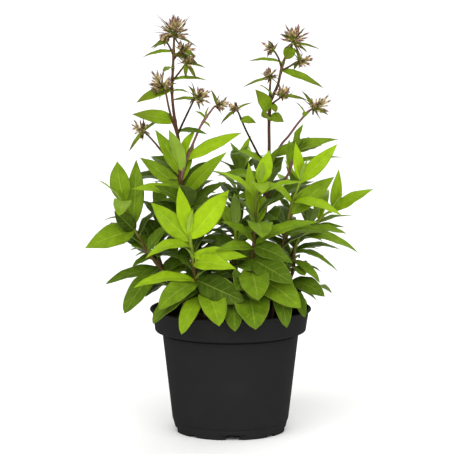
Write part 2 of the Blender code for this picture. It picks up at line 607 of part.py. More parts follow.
def mesh_object(name, piece, collection):
    points, faces = piece
    mesh = bpy.data.meshes.new(name)
    mesh.from_pydata([point * MM for point in points], [], faces)
    made = bpy.data.objects.new(name, mesh)
    collection.objects.link(made)
    return made


def apply_boolean(target, operation, pieces, solver="EXACT"):
    """Joins or cuts the target with all the pieces at once, and removes them afterwards."""
    helpers = bpy.data.collections.new(target.name + "_pieces")
    bpy.context.scene.collection.children.link(helpers)
    for i, piece in enumerate(pieces):
        helper = mesh_object(f"{target.name}_piece_{i}", piece, helpers)
        helper.hide_render = True
        helper.display_type = "WIRE"
    modifier = target.modifiers.new("Pieces", "BOOLEAN")
    modifier.operation = operation
    modifier.solver = solver
    modifier.operand_type = "COLLECTION"
    modifier.collection = helpers
    evaluated = target.evaluated_get(bpy.context.evaluated_depsgraph_get())
    mesh = bpy.data.meshes.new_from_object(evaluated)
    target.modifiers.remove(modifier)
    target.data = mesh
    for helper in list(helpers.objects):
        bpy.data.objects.remove(helper)
    bpy.data.collections.remove(helpers)


def crosses_itself(shape):
    """True if faces that share no corner cross."""
    tree = BVHTree.FromBMesh(shape)
    corners = [{vert.index for vert in face.verts} for face in shape.faces]
    return any(not corners[a] & corners[b] for a, b in tree.overlap(tree))


def keep_one_body(target):
    """Fills hollows that the joining sealed and drops loose scraps: only the largest skin is kept.

    Slivers that the joining left are taken out first, where the skin stays closed without them.
    """
    shape = bmesh.new()
    shape.from_mesh(target.data)
    bmesh.ops.dissolve_limit(shape, angle_limit=FLAT_ANGLE, verts=shape.verts, edges=shape.edges)
    bmesh.ops.triangulate(shape, faces=shape.faces)
    trimmed = shape.copy()
    bmesh.ops.dissolve_degenerate(trimmed, dist=SLIVER, edges=trimmed.edges)
    bmesh.ops.dissolve_limit(trimmed, angle_limit=FLAT_ANGLE, verts=trimmed.verts, edges=trimmed.edges)
    bmesh.ops.triangulate(trimmed, faces=trimmed.faces)
    trimmed.verts.index_update()
    trimmed.faces.ensure_lookup_table()
    if all(edge.is_manifold for edge in trimmed.edges) and not crosses_itself(trimmed):
        shape, trimmed = trimmed, shape
    trimmed.free()
    left = set(shape.verts)
    skins = []
    while left:
        start = left.pop()
        skin, edge = {start}, [start]
        while edge:
            for link in edge.pop().link_edges:
                for vert in link.verts:
                    if vert not in skin:
                        skin.add(vert)
                        edge.append(vert)
        left -= skin
        skins.append(skin)
    largest = max(skins, key=len)
    loose = [vert for vert in shape.verts if vert not in largest]
    bmesh.ops.delete(shape, geom=loose, context="VERTS")
    shape.to_mesh(target.data)
    shape.free()


def turned(profile, sides):
    """A closed solid turned from a profile of (radius, height) that runs once round its section."""
    points, faces = [], []
    rings = []
    for radius, height in profile:
        if radius == 0:
            rings.append([len(points)] * sides)
            points.append(Vector((0, 0, height)))
            continue
        rings.append(list(range(len(points), len(points) + sides)))
        for k in range(sides):
            angle = 2 * math.pi * k / sides
            points.append(Vector((radius * math.cos(angle), radius * math.sin(angle), height)))
    for low, high in zip(rings, rings[1:]):
        for k in range(sides):
            n = (k + 1) % sides
            corners = [low[k], low[n], high[n], high[k]]
            face = tuple(dict.fromkeys(corners))
            if len(face) > 2:
                faces.append(face)
    return outward(points, faces)


def inner_radius(height):
    """The radius of the pot's inner wall at a height, below the collar's step."""
    share = (height - BODY_FOOT) / (BODY_TOP - BODY_FOOT)
    return BODY_FOOT_RADIUS + (BODY_TOP_RADIUS - BODY_FOOT_RADIUS) * share - WALL


def box(centre, size, turn):
    """A box turned about the pot's axis; its size is tangent, radial and up."""
    points = []
    for x in (-0.5, 0.5):
        for y in (-0.5, 0.5):
            for z in (-0.5, 0.5):
                local = Vector((x * size[0], centre[1] + y * size[1], centre[2] + z * size[2]))
                cos, sin = math.cos(turn), math.sin(turn)
                points.append(Vector((local.x * cos - local.y * sin, local.x * sin + local.y * cos, local.z)))
    faces = [(0, 1, 3, 2), (4, 6, 7, 5), (0, 4, 5, 1), (2, 3, 7, 6), (0, 2, 6, 4), (1, 5, 7, 3)]
    return outward(points, faces)


def make_pot(scene):
    collar_inner_top = COLLAR_TOP_RADIUS - WALL
    collar_inner_foot = COLLAR_FOOT_RADIUS - WALL
    profile = (
        (0, FLOOR_TOP), (inner_radius(BODY_FOOT) - FLOOR_ROUND, FLOOR_TOP),
        (inner_radius(BODY_FOOT), BODY_FOOT - FLOOR_ROUND),
        (inner_radius(BODY_TOP), BODY_TOP), (collar_inner_foot - STEP_SLOPE, BODY_TOP + STEP_RISE),
        (collar_inner_foot, BODY_TOP + 2 * STEP_RISE), (collar_inner_top, POT_HEIGHT - LIP_UNDER),
        (RIM_RADIUS - RIM_FLAT, POT_HEIGHT), (RIM_RADIUS, POT_HEIGHT - RIM_ROUND),
        (RIM_RADIUS - LIP_TUCK, POT_HEIGHT - LIP_DROP), (COLLAR_TOP_RADIUS, POT_HEIGHT - LIP_UNDER),
        (COLLAR_FOOT_RADIUS, COLLAR_FOOT),
        (COLLAR_FOOT_RADIUS - COLLAR_ROUND, COLLAR_FOOT - COLLAR_ROUND), (BODY_TOP_RADIUS, BODY_TOP),
        (BODY_FOOT_RADIUS, BODY_FOOT), (FOOT_RADIUS, 0), (FOOT_RADIUS - FOOT_RING, 0),
        (FOOT_RADIUS - FOOT_RING, FLOOR_UNDER), (0, FLOOR_UNDER),
    )
    pot = mesh_object("pot", turned(profile, POT_SIDES), scene)
    cutters = []
    ring = FOOT_RADIUS - FOOT_RING / 2
    for quarter in range(QUARTERS):
        turn = NOTCH_TURN + quarter * 2 * math.pi / QUARTERS
        cutters.append(box((0, -ring, 0), (NOTCH_WIDTH, CUTTER_DEPTH, 2 * NOTCH_HEIGHT), turn))
        between = turn + math.pi / QUARTERS
        cutters.append(box((0, -ring, 0), (GAP_WIDTH, CUTTER_DEPTH, 2 * GAP_HEIGHT), between))
        centre = Vector((math.sin(turn), -math.cos(turn), 0)) * DRAIN_RING
        path = [centre, centre + UP * (FLOOR_TOP + FLOOR_UNDER)]
        cutters.append(tube(path, (DRAIN_RADIUS, DRAIN_RADIUS), DRAIN_SIDES))
    apply_boolean(pot, "DIFFERENCE", cutters)
    keep_one_body(pot)
    pot.data.materials.append(finish("black moulded polypropylene", POT_BLACK, POT_ROUGHNESS))
    return pot


def soil_relief(x, y):
    """The height of the loose crumbs over the soil's level."""
    wave = math.sin(x * 0.31 + 1.3) * math.cos(y * 0.27 - 0.4) + 0.6 * math.sin(x * 0.13 - y * 0.19)
    crumb = math.sin(x * 0.9 + 2.1 * math.sin(y * 0.7)) * math.sin(y * 0.83 + 0.5)
    return SOIL_RELIEF * (0.35 * wave + 0.5 * crumb)


def make_soil(scene):
    """The soil with crumbs on its top and a plain hole for each stem."""
    points = [Vector((0, 0, SOIL_TOP + soil_relief(0, 0)))]
    faces = []
    # The top reaches a little over the collar's step, where the pot is wider.
    top_radius = COLLAR_FOOT_RADIUS - WALL - SOIL_GAP
    rings = [top_radius * (k + 1) / SOIL_RINGS for k in range(SOIL_RINGS)]
    walls = ((top_radius, SOIL_EDGE), (inner_radius(BODY_TOP) - SOIL_GAP, BODY_TOP),
             (inner_radius(BODY_FOOT) - SOIL_GAP, BODY_FOOT - CLEARANCE),
             (inner_radius(BODY_FOOT) - FLOOR_ROUND - SOIL_GAP, FLOOR_TOP + CLEARANCE))
    for radius in rings:
        for k in range(SOIL_SIDES):
            angle = 2 * math.pi * k / SOIL_SIDES
            x, y = radius * math.cos(angle), radius * math.sin(angle)
            points.append(Vector((x, y, SOIL_TOP + soil_relief(x, y))))
    for radius, height in walls:
        for k in range(SOIL_SIDES):
            angle = 2 * math.pi * k / SOIL_SIDES
            points.append(Vector((radius * math.cos(angle), radius * math.sin(angle), height)))
    for k in range(SOIL_SIDES):
        faces.append((0, 1 + k, 1 + (k + 1) % SOIL_SIDES))
    for ring in range(len(rings) + len(walls) - 1):
        low = 1 + ring * SOIL_SIDES
        for k in range(SOIL_SIDES):
            n = (k + 1) % SOIL_SIDES
            faces.append((low + k, low + SOIL_SIDES + k, low + SOIL_SIDES + n))
            faces.append((low + k, low + SOIL_SIDES + n, low + n))
    last = 1 + (len(rings) + len(walls) - 1) * SOIL_SIDES
    faces.append(tuple(reversed(range(last, last + SOIL_SIDES))))
    soil = mesh_object("soil", outward(points, faces), scene)
    holes = []
    for _, (x, y), _, thick, _ in STEMS.values():
        radius = thick / 2 + CLEARANCE / math.cos(math.pi / STEM_SIDES)
        path = [Vector((x, y, HOLE_FLOOR)), Vector((x, y, SOIL_TOP + 3 * SOIL_RELIEF))]
        holes.append(tube(path, (radius, radius), STEM_SIDES))
    apply_boolean(soil, "DIFFERENCE", holes)
    keep_one_body(soil)
    soil.data.materials.append(finish("moist peat compost", PEAT_BROWN, PEAT_ROUGHNESS))
    return soil


def world_piece(made):
    """An object's mesh as a piece in millimetres, to keep leaves clear of it."""
    points = [vert.co / MM for vert in made.data.vertices]
    faces = [tuple(polygon.vertices) for polygon in made.data.polygons]
    return points, faces


def main():
    for old in list(bpy.data.objects):
        bpy.data.objects.remove(old)
    scene = bpy.context.scene.collection
    garden = Garden()
    paths = stem_paths()
    for made in (make_pot(scene), make_soil(scene)):
        garden.add(made.name, world_piece(made))
        garden.pieces.pop(made.name)
    grow_stems(garden, paths)
    grow_heads(garden, paths)
    grow_leaves(garden, paths)
    grow_pairs(garden, paths)
    for node, pieces in garden.pieces.items():
        made = mesh_object(node, pieces[0], scene)
        apply_boolean(made, "UNION", pieces[1:], "MANIFOLD")
        keep_one_body(made)
        colour = HEAD_TAN if node in HEADS else LEAF_GREEN
        made.data.materials.append(finish(node.replace("_", " "), colour, PLANT_ROUGHNESS))


main()
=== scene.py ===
"""A bushy garden phlox in bud in a 17 cm nursery pot: its finished surfaces, studio and camera.

The plant grows by the same rule as its solids: stems, side stalks and heads first, then each leaf at
the first place where it is clear of the other stems' pieces. Places on the plant are in millimetres as
they are seen from the front, and every mesh is in metres.
"""

import functools
import math
import random
from collections import namedtuple

import bmesh
import bpy
from bpy.props import FloatProperty, FloatVectorProperty, IntProperty, PointerProperty
from bpy.types import Node, NodeSocket, Operator, Panel, PropertyGroup
from mathutils import Matrix, Vector
from mathutils.bvhtree import BVHTree


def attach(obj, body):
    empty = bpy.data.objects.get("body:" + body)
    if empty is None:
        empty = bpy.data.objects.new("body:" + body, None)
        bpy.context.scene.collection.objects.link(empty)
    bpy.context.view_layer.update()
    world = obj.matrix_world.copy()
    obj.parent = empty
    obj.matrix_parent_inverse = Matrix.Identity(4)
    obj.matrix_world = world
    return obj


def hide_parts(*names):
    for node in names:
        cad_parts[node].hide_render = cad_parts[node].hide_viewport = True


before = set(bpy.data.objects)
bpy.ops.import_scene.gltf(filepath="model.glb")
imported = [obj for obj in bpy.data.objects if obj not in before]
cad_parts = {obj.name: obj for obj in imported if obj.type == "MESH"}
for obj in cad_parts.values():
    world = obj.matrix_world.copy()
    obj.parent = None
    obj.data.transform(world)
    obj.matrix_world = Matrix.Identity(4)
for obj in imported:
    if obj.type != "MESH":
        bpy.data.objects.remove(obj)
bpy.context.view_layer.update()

bl_info = {
    "name": "Potted garden phlox",
    "version": (1, 0, 0),
    "blender": (4, 5, 0),
    "location": "3D View > Sidebar > Phlox",
    "description": "Builds a garden phlox in bud with its nursery pot",
    "category": "Add Mesh",
}

MM = 0.001
UP = Vector((0, 0, 1))
TO_VIEWER = Vector((0, -1, 0))
ROOT_BODY = "root"
GOLDEN = math.pi * (3 - math.sqrt(5))


def linear(hex_colour):
    """An sRGB hex colour as three linear values."""
    levels = [int(hex_colour[i:i + 2], 16) / 255 for i in (0, 2, 4)]
    return tuple(level / 12.92 if level <= 0.04045 else ((level + 0.055) / 1.055) ** 2.4 for level in levels)


# The front view: places on the plant are given as they are seen from a little above the pot's rim.
EYE_TILT = math.radians(7.8)
EYE_DISTANCE = 3000.0
EYE_LEVEL = 215.0

# How far apart different stems' pieces stay, and the heights between which a stem stands upright
CLEARANCE = 0.3
STEM_FOOT = 98.0
STRAIGHT_TOP = 121.0

# A rough leaf blade: its thickness, and how far its edges lift as a share of its half width
BLADE_THICK = 1.1
BLADE_FOLD = 0.2
# A blade longer and broader than this has three cross-sections past its root, and any other has two:
# their places along the blade, with the half width there as a share of the fullest.
LONG_BLADE = 42.0
BROAD_BLADE = 8.5
LONG_OUTLINE = ((0.2, 0.68), (0.48, 1.0), (0.79, 0.56))
SHORT_OUTLINE = ((0.3, 0.85), (0.68, 0.8))
ROOT_HALF = 0.8
ROOT_START = 0.6

# What a leaf tries, to stay clear of other stems' pieces: tip nearer or further, and more or less arched
DEPTH_STEPS = (0, -5, 5, -10, 10, -16, 16, -23, 23)
BOW_STEPS = (0, 4, -4, 9)
OWN_START = 0.25
TURN_STEPS = (0, 9, -9, 18, -18, 28, -28, 40, -40)
RISE_STEPS = (0, 10, -10, 20)


# Stems that stand in the soil: node, place in the soil (right, back), points up the stem as seen from
# the front (across, up, depth), and the thickness at the foot and the top.
STEMS = {
    "a": ("stem_left_tall", (-22, 8), ((-28, 165, 6), (-36, 210, 4), (-43, 237, 2), (-51, 253, 0),
          (-53, 272, 0), (-53, 296, 0), (-56, 314, 0), (-59.4, 335, 0), (-61.2, 357, 0),
          (-60.3, 375, 0), (-59.4, 394, 0), (-58.8, 409, 0)), 5.0, 2.6),
    "e": ("stem_right_tall", (22, 14), ((26, 165, 16), (32, 205, 16), (37, 240, 14), (39.5, 270, 12),
          (40.4, 295, 12), (40.2, 320, 12), (40.7, 334, 12), (42.1, 346, 12), (49.1, 362, 12),
          (52, 374, 12), (56.2, 389, 12), (63.5, 402.7, 12)), 5.0, 2.6),
    "s": ("shoot_front_left", (-14, -38), ((-26.8, 140, -42), (-31, 148.6, -46), (-35.2, 156, -49),
          (-37.3, 164, -51), (-39.4, 178, -52), (-41.5, 194, -53), (-43.6, 206, -53)), 5.2, 3.4),
    "r": ("shoot_front_right", (15, -34), ((21.5, 172, -40), (22.6, 185, -42), (24.7, 196, -42),
          (24.7, 207, -42), (25.7, 220, -42), (26.8, 243, -42), (28.6, 252, -42), (32, 261, -42)),
          4.8, 2.8),
    "w": ("shoot_far_left", (-42, -8), ((-60, 153, -14), (-79.3, 178, -16), (-87.7, 188, -16),
          (-96.1, 203, -15), (-100.3, 210, -14), (-104.5, 220, -14), (-109.7, 231, -14),
          (-111.8, 240, -14)), 4.6, 2.6),
    "v": ("shoot_low_left", (-46, 16), ((-58, 150, 14), (-72, 172, 10), (-76.5, 190, 8),
          (-75, 210, 8), (-72, 226, 10)), 4.2, 2.8),
    "n": ("shoot_centre", (0, -14), ((1, 140, -18), (3, 165, -20), (5, 195, -20), (5, 214, -20)),
          4.4, 3.0),
    "p": ("shoot_right", (36, -24), ((46, 160, -24), (56, 200, -20), (61.4, 227, -18),
          (62.5, 233, -18), (66.2, 244, -18), (70.5, 255, -18), (74, 265, -18)), 4.4, 2.6),
    "q": ("shoot_far_right", (44, 20), ((56, 160, 16), (66, 188, 12), (74, 206, 8), (91.9, 221, 6),
          (100.3, 228.4, 6), (109.7, 232.5, 6)), 4.2, 2.4),
    "u": ("shoot_low_right", (52, -4), ((60, 150, -8), (66, 170, -10), (67.5, 190, -10),
          (72, 204, -10), (80, 214, -8)), 4.2, 2.6),
    "kl": ("shoot_back_left", (-28, 36), ((-36, 160, 42), (-44, 215, 50), (-50, 262, 56)), 4.2, 2.6),
    "kc": ("shoot_back_centre", (4, 44), ((6, 165, 54), (6, 225, 62), (10, 277, 68)), 4.2, 2.6),
    "kr": ("shoot_back_right", (34, 38), ((46, 160, 46), (60, 210, 52), (68, 252, 56)), 4.2, 2.6),
}

# Side stalks: the stem they leave, the height seen from the front where they do, points and thickness.
STALKS = {
    "a_purple": ("a", 263, ((-48.3, 278, -2), (-43.3, 292, -4), (-37.3, 306, -6), (-31.6, 319, -8),
        (-26, 328, -8), (-17.3, 339.7, -8)), 3.0, 2.2),
    "a_far": ("a", 258, ((-64, 282, 6), (-77.2, 300, 8), (-88.4, 312.5, 8)), 2.6, 2.0),
    "a_upper_left": ("a", 312, ((-59.6, 322, -3), (-64, 337, -6), (-67.6, 355, -7)), 2.6, 2.0),
    "a_upper_right": ("a", 311, ((-46, 331, -6), (-38.5, 346.4, -7)), 2.4, 2.0),
    "a_high_right": ("a", 366, ((-53, 376, -5), (-48.1, 382.5, -8)), 2.2, 2.0),
    "a_top_right": ("a", 388, ((-54, 396, -6),), 2.2, 2.0),
    "a_top_left": ("a", 394, ((-65.2, 404.9, -3),), 2.2, 2.0),
    "e_dark": ("e", 258, ((34, 281, 14), (28.4, 291.4, 14), (16.6, 314.5, 12), (12.4, 324, 11),
        (7.9, 334.7, 10)), 2.6, 2.0),
    "e_fork": ("e", 338, ((41, 355, 8), (41.7, 367.6, 7)), 2.6, 2.2),
    "e_low_right": ("e", 341, ((46, 345, 7), (51, 348.5, 5)), 2.4, 2.0),
    "e_high_left": ("e", 379, ((50, 390, 9), (46.3, 396.6, 8)), 2.2, 2.0),
    "e_high_right": ("e", 377, ((62, 382, 8), (68.8, 386.4, 7)), 2.2, 2.0),
    "e_far": ("e", 272, ((51.5, 298, 10), (60.8, 309.5, 9), (70.1, 322.2, 8), (79, 332.5, 8),
        (82.8, 336.2, 8)), 2.8, 2.2),
    "e_side": ("e", 252, ((58, 266, 4), (65, 284, 1), (71, 296, 0)), 3.0, 2.4),
}

# Heads of buds: the stalk under them, the tip as seen from the front, half the width, buds, and the
# tips and widths of the small bracts under the buds.
HEADS = {
    "head_left_top": ("a", (-55, 437, 0), 15, 24,
        ((-35.2, 402, -8, 3.5), (-79, 404, 6, 4), (-44, 410, 14, 4))),
    "head_left_second": ("a_top_left", (-74, 415.5, -5), 5.5, 7,
        ((-83.5, 400, -8, 3.5), (-81, 399, 6, 3.5))),
    "head_left_third": ("a_top_right", (-37, 407, -12), 7, 10, ((-36.2, 391, -16, 4),)),
    "head_left_fourth": ("a_high_right", (-36.2, 395, -13), 7, 9,
        ((-46.7, 369.5, -14, 4), (-35.9, 368, -12, 4), (-25.9, 380, -8, 3.5))),
    "head_left_fifth": ("a_upper_left", (-82.4, 379, -12), 10, 15, ((-56, 364, -14, 4),)),
    "head_left_sixth": ("a_upper_right", (-19.4, 356.5, -10), 10, 15,
        ((-62.9, 346, -16, 5), (-44.6, 362, -10, 3.5))),
    "head_far_left": ("a_far", (-104, 323, 7), 8, 11, ((-106.2, 293.3, 2, 4), (-67.7, 329.3, 4, 4))),
    "head_centre_left": ("a_purple", (0.5, 346, -11), 6.5, 11, ((-20.5, 357.7, -10, 3),)),
    "head_centre_right": ("e_dark", (-1.6, 345, 11), 5.5, 8,
        ((-10.6, 321.2, 8, 4), (23.2, 344, 10, 3))),
    "head_right_top": ("e", (73, 425, 12), 13, 21,
        ((50.9, 414.9, 8, 4), (93.2, 399.3, 8, 3.5), (80.3, 395.6, 4, 4))),
    "head_right_second": ("e_high_left", (33, 406.5, 7), 6.5, 9, ((38.3, 409.2, 2, 3),)),
    "head_right_third": ("e_fork", (38.3, 382, 6), 8, 11, ((13.1, 360, 2, 4),)),
    "head_right_fourth": ("e_high_right", (88.7, 390, 6), 6.5, 11,
        ((66, 401, 6, 3), (66, 377.8, 4, 4))),
    "head_right_fifth": ("e_low_right", (60.4, 363, 3), 9, 12, ((80.1, 346.5, -6, 5),)),
    "head_far_right": ("e_far", (106.6, 349, 8), 8.5, 13, ((74.3, 356.2, 6, 4), (102.4, 331, 4, 4))),
}

# Leaves that show from the front: height seen on the stem or stalk, then the tip (across, up, depth),
# the width, the bow of the midrib and how far the face turns to the viewer (0 to 1). An eighth value
# is the tone of a leaf that is brighter or darker than its place on the stem says; where such a leaf
# lies in shadow, its darker tone is painted shade.
LEAVES = {
    "a": ((397, -91.7, 391, -8, 5, 3, 0.4), (394, -34, 384, -14, 7, 3, 0.5),
          (380, -70, 376, -14, 4.5, 2, 0.3), (368, -23.7, 367, -8, 5.5, 3, 0.4),
          (358, -98.6, 344, -12, 10, 4, 0.6), (356, -42.8, 354, -10, 4.5, 2, 0.3),
          (325, -102.9, 332, -8, 14, 5, 0.7, 0.62), (314, -23.8, 311, -12, 7.5, 3, 0.4, 0.25),
          (268, -64.6, 316, -24, 16.5, 4, 0.0), (269, -78.8, 316, -8, 15, 4, 0.5, 0.5),
          (286, -36.4, 316.6, -8, 10, 3, 0.5), (254, -94.8, 287, 10, 16, 5, 0.7, 0.5),
          (246, -104.5, 254, -22, 14, 7, 0.5, 0.62), (262, -38, 303, 12, 10, 4, 0.8, 0.55),
          (248, -3.7, 293, -24, 15, 4, 0.7, 0.6), (272, -83.5, 288, 30, 12, 4, 0.6, 0.26),
          (264, -108.7, 264, 30, 18, 5, 0.4, 0.16), (236, -4, 262, -4, 12, 4, 0.5, 0.25),
          (232, -84, 236, 14, 16, 6, 0.4), (214, 12, 226, 4, 17, 6, 0.5), (206, -70, 196, 8, 18, 6, 0.4),
          (188, -64, 168, -6, 18, 7, 0.4)),
    "a_purple": ((285, 12, 313, 10, 13, 5, 0.6), (327, -37.3, 335, -10, 4, 2, 0.3),
          (328, -21.8, 341, -14, 3.5, 1, 0.2), (324, -20.9, 318, -8, 4, 1, 0.2)),
    "s": ((206, -54.1, 257, -62, 15, -2, 0.8, 0.9), (206, -39.4, 233, -58, 6.5, 1, 0.0),
          (199, -83.5, 240, -40, 20, 5, 0.8, 0.64), (202, -1.6, 253, -36, 24, 5, 0.85),
          (193, -89.8, 181, -76, 14, 10, 0.4, 0.72), (178, -50, 194, -62, 6, 2, 0.2),
          (176, 5.8, 170, -78, 19, 8, 0.6, 0.8), (184, 17.3, 183, -58, 15, 6, 0.7, 0.72),
          (156, -102.4, 150, -74, 14, 10, 0.4, 0.7), (158, -24.7, 169, -62, 7, 2, 0.2),
          (155, -76, 127, -92, 18, 9, 0.5, 0.45), (147, -82, 112, -84, 14, 11, 0.4, 0.35),
          (142, -44.6, 151, -66, 6, 2, 0.2, 0.05), (142, -12.1, 109.7, -103, 20, 12, 0.35, 0.62),
          (138, -52, 101, -102, 13, 13, 0.3, 0.64), (159, 14.2, 136, -74, 22, 6, 0.8, 0.06),
          (140, -47, 129, -58, 11, 4, 0.3, 0.1)),
    "n": ((172, 29, 168, -52, 13, 5, 0.5), (138, 4.7, 104, -102, 18, 14, 0.4),
          (142, -2.6, 118, -92, 15, 11, 0.5), (214, 4, 250, -34, 11, 3, 0.2),
          (212, -14, 240, 6, 13, 4, 0.6), (196, 36, 216, -6, 15, 5, 0.5), (194, -34, 200, 8, 17, 6, 0.5),
          (176, 44, 190, -14, 16, 6, 0.5), (166, -30, 172, -2, 18, 6, 0.5)),
    "r": ((260, 40.4, 294.5, -36, 15, 3, 0.7), (261, 34, 283, -48, 6, 1, 0.1),
          (259, 27, 276, -36, 6, 1, 0.2), (256, 33, 250, -82, 13, 6, 0.0, 0.62),
          (244, -15.2, 272.5, -60, 12, 5, 0.35), (244, 77.2, 261, -64, 12, 6, 0.35),
          (218, 18.9, 282, -20, 13, 4, 0.7), (216, 36, 247, -18, 13, 4, 0.5),
          (214, 33, 203, -94, 19, 9, 0.0, 0.5), (196, 94, 219.5, -60, 15, 8, 0.45, 0.55),
          (196, -10, 220, -60, 12, 6, 0.4, 0.5), (192, -16.3, 189, -62, 12, 6, 0.5, 0.45),
          (143, 26.3, 106, -104, 26, 12, 0.5, 0.4), (169, 29.4, 137, -102, 22, 8, 0.45, 0.5),
          (164, 74, 129, -94, 23, 8, 0.6, 0.42), (194, 65.6, 176, -66, 19, 6, 0.7, 0.3),
          (180, 65.6, 155, -84, 21, 6, 0.7, 0.26)),
    "w": ((240, -118.7, 283, 6, 20, 4, 0.8, 0.55), (239, -117, 226, -66, 13, 8, 0.75, 0.6),
          (237, -140.2, 264, -22, 10, 3, 0.1), (241, -124, 257, -22, 9, 1, 0.4),
          (215, -98.7, 285, 16, 18, 5, 0.85), (211, -153, 192, -30, 24, 6, 0.65, 0.55),
          (214, -127, 214, 30, 16, 5, 0.3, 0.3), (222, -133, 221, 12, 9, 3, 0.1),
          (190, -128, 208, 26, 15, 6, 0.4), (188, -60, 218, -32, 14, 5, 0.5)),
    "v": ((170, -131.8, 154, -24, 12, 7, 0.5), (174, -111.8, 123, -44, 15, 8, 0.6),
          (206, -104.5, 194, -8, 18, 5, 0.95), (196, -95, 218, 22, 16, 5, 0.6),
          (182, -104.5, 170, 2, 11, 5, 0.3), (172, -38, 172, -12, 19, 5, 0.6),
          (226, -78, 262, 18, 14, 4, 0.5), (224, -50, 246, 22, 14, 4, 0.5)),
    "e": ((402, 58.1, 389, -6, 9, 2, 0.8), (385, 18.7, 387, -2, 5.5, 3, 0.3),
          (378, 97.4, 359, -8, 8, 4, 0.6), (350, 30.4, 362, -4, 5.5, 2, 0.4),
          (336, 25.7, 358, 0, 14, 3, 0.7), (343, 47.2, 334, 0, 5.5, 2, 0.3),
          (329, 55.7, 324, -2, 10, 3, 0.6), (329, 32, 330, -2, 9, 2, 0.6),
          (287, 112.9, 306, 8, 14, 6, 0.5), (276, 4.7, 295, 14, 10, 4, 0.3),
          (280, -2.6, 290, 28, 12, 5, 0.3), (266, 54, 300, 0, 9, 3, 0.3), (262, -14, 268, 22, 14, 5, 0.3),
          (240, 4, 246, -6, 14, 5, 0.5), (236, 88, 262, 30, 15, 5, 0.4), (212, 84, 214, 30, 17, 6, 0.4),
          (210, -16, 212, 22, 17, 6, 0.4), (186, -24, 184, 20, 17, 6, 0.4)),
    "e_dark": ((327, 26.8, 323, 2, 8, 2, 0.6),),
    "e_far": ((332, 67.3, 345, 4, 4, 1, 0.2), (334, 76, 329, 2, 5, 1, 0.4)),
    "e_side": ((295, 76.3, 322, -4, 12, 3, 0.2), (295, 83, 309, -2, 6.5, 1, 0.2),
          (280, 118, 287, 12, 9, 3, 0.3), (278, 61, 306, 6, 8, 2, 0.3), (292, 96, 300, 20, 9, 2, 0.4)),
    "p": ((264, 67.7, 303, -28, 11, 2, 0.5), (262, 111.8, 301, -14, 15, 4, 0.8),
          (264, 80.9, 285, -28, 5.5, 1, 0.1), (228, 108.7, 267, -6, 19, 4, 0.8),
          (241, 117, 226, -42, 12, 7, 0.4), (238, 36, 262, -30, 12, 4, 0.4),
          (206, 104, 206, -44, 15, 7, 0.4), (160, 59.3, 108, -92, 14, 13, 0.4)),
    "q": ((232, 113.4, 275, 2, 11, 3, 0.6), (232, 150, 254, -6, 13, 4, 0.6),
          (231, 120.2, 251, -8, 6, 1, 0.2), (214, 128.6, 226, 26, 10, 4, 0.2),
          (206, 120, 214, 12, 12, 5, 0.3), (190, 116, 190, 34, 10, 6, 0.25)),
    "u": ((206, 134.4, 187, -18, 12, 8, 0.4), (212, 122.3, 207, 4, 10, 4, 0.4),
          (199, 97, 199, 20, 9, 4, 0.1), (190, 112.9, 167, -22, 7, 6, 0.3),
          (179, 94, 155.4, -34, 9, 5, 0.4), (172, 78, 163, -30, 9, 3, 0.3),
          (157, 99.2, 141, -44, 14, 6, 0.5), (150, 78, 119, -66, 9, 8, 0.3)),
}

# Pairs of leaves on the sides that the front view hides: stem, first and last height seen from the
# front, number of pairs, compass turn of the first pair, leaf length at the foot and at the top.
PAIRS = (
    ("kc", 138, 270, 7, 75, 62, 44), ("kl", 138, 256, 6, 130, 62, 42), ("kr", 138, 246, 6, 40, 62, 42),
    ("a", 168, 218, 2, 100, 60, 54), ("e", 172, 232, 2, 80, 60, 54), ("v", 146, 222, 3, 95, 58, 42),
    ("q", 142, 222, 3, 60, 58, 44), ("w", 160, 226, 3, 110, 52, 44), ("u", 150, 196, 2, 40, 52, 46),
    ("p", 170, 214, 1, 70, 50, 50), ("n", 176, 186, 1, 90, 46, 46),
)
# Their width as a share of their length, how steeply the lowest and the highest rise, how much each
# turn, length and rise differs from the rule, and how far they arch.
PAIR_WIDTH = 0.33
LOW_RISE = -6
HIGH_RISE = 38
TURN_SPREAD = 12
RISE_SPREAD = 6
LENGTHS = (0.9, 1.08)
BOWS = (4, 9)
# Of a front stem's pairs only the leaves that point away from the viewer are grown by the rule.
HIDDEN_SIDE = -0.3
RULE_SEED = 7

# The upright leaves at the tops of the back shoots
TOP_TUFT = (("kc", 277), ("kl", 262), ("kr", 252))
TUFT_LEAVES = 4
TUFT_TURN = 45
TUFT_SPREAD = 10
TUFT_LENGTH = 34.0
TUFT_LENGTHS = (0.8, 1.1)
TUFT_WIDTH = 10.0
TUFT_RISE = 62.0
TUFT_BOW = 2.0

# A head: the core's share of its height and width, where the core is widest, and how the buds lean
# from the foot of the head to its tip, in degrees
HEAD_CORE = 0.45
HEAD_CORE_HALF = 0.3
CORE_WIDEST = 0.45
CORE_FOOT = 1.2
CORE_TIP = 0.8
LEAN_SPAN = 92
LEAN_TIP = 6
LEAN_POWER = 0.8
FIRST_BUD = 0.3
BUD_SPAN = 0.5
BUD_SEAT = 0.55
BUD_TURN = 0.3
BUD_LENGTHS = (0.85, 1.05)
BRACT_BOW = 1.5
BRACT_SHOW = 0.4
BUD_HALF = 1.15
BUD_FOOT = 0.5
BUD_WIDEST = 0.55
BUD_SIDES = 3
STEM_SIDES = 5
STALK_SIDES = 4
CORE_SIDES = 5

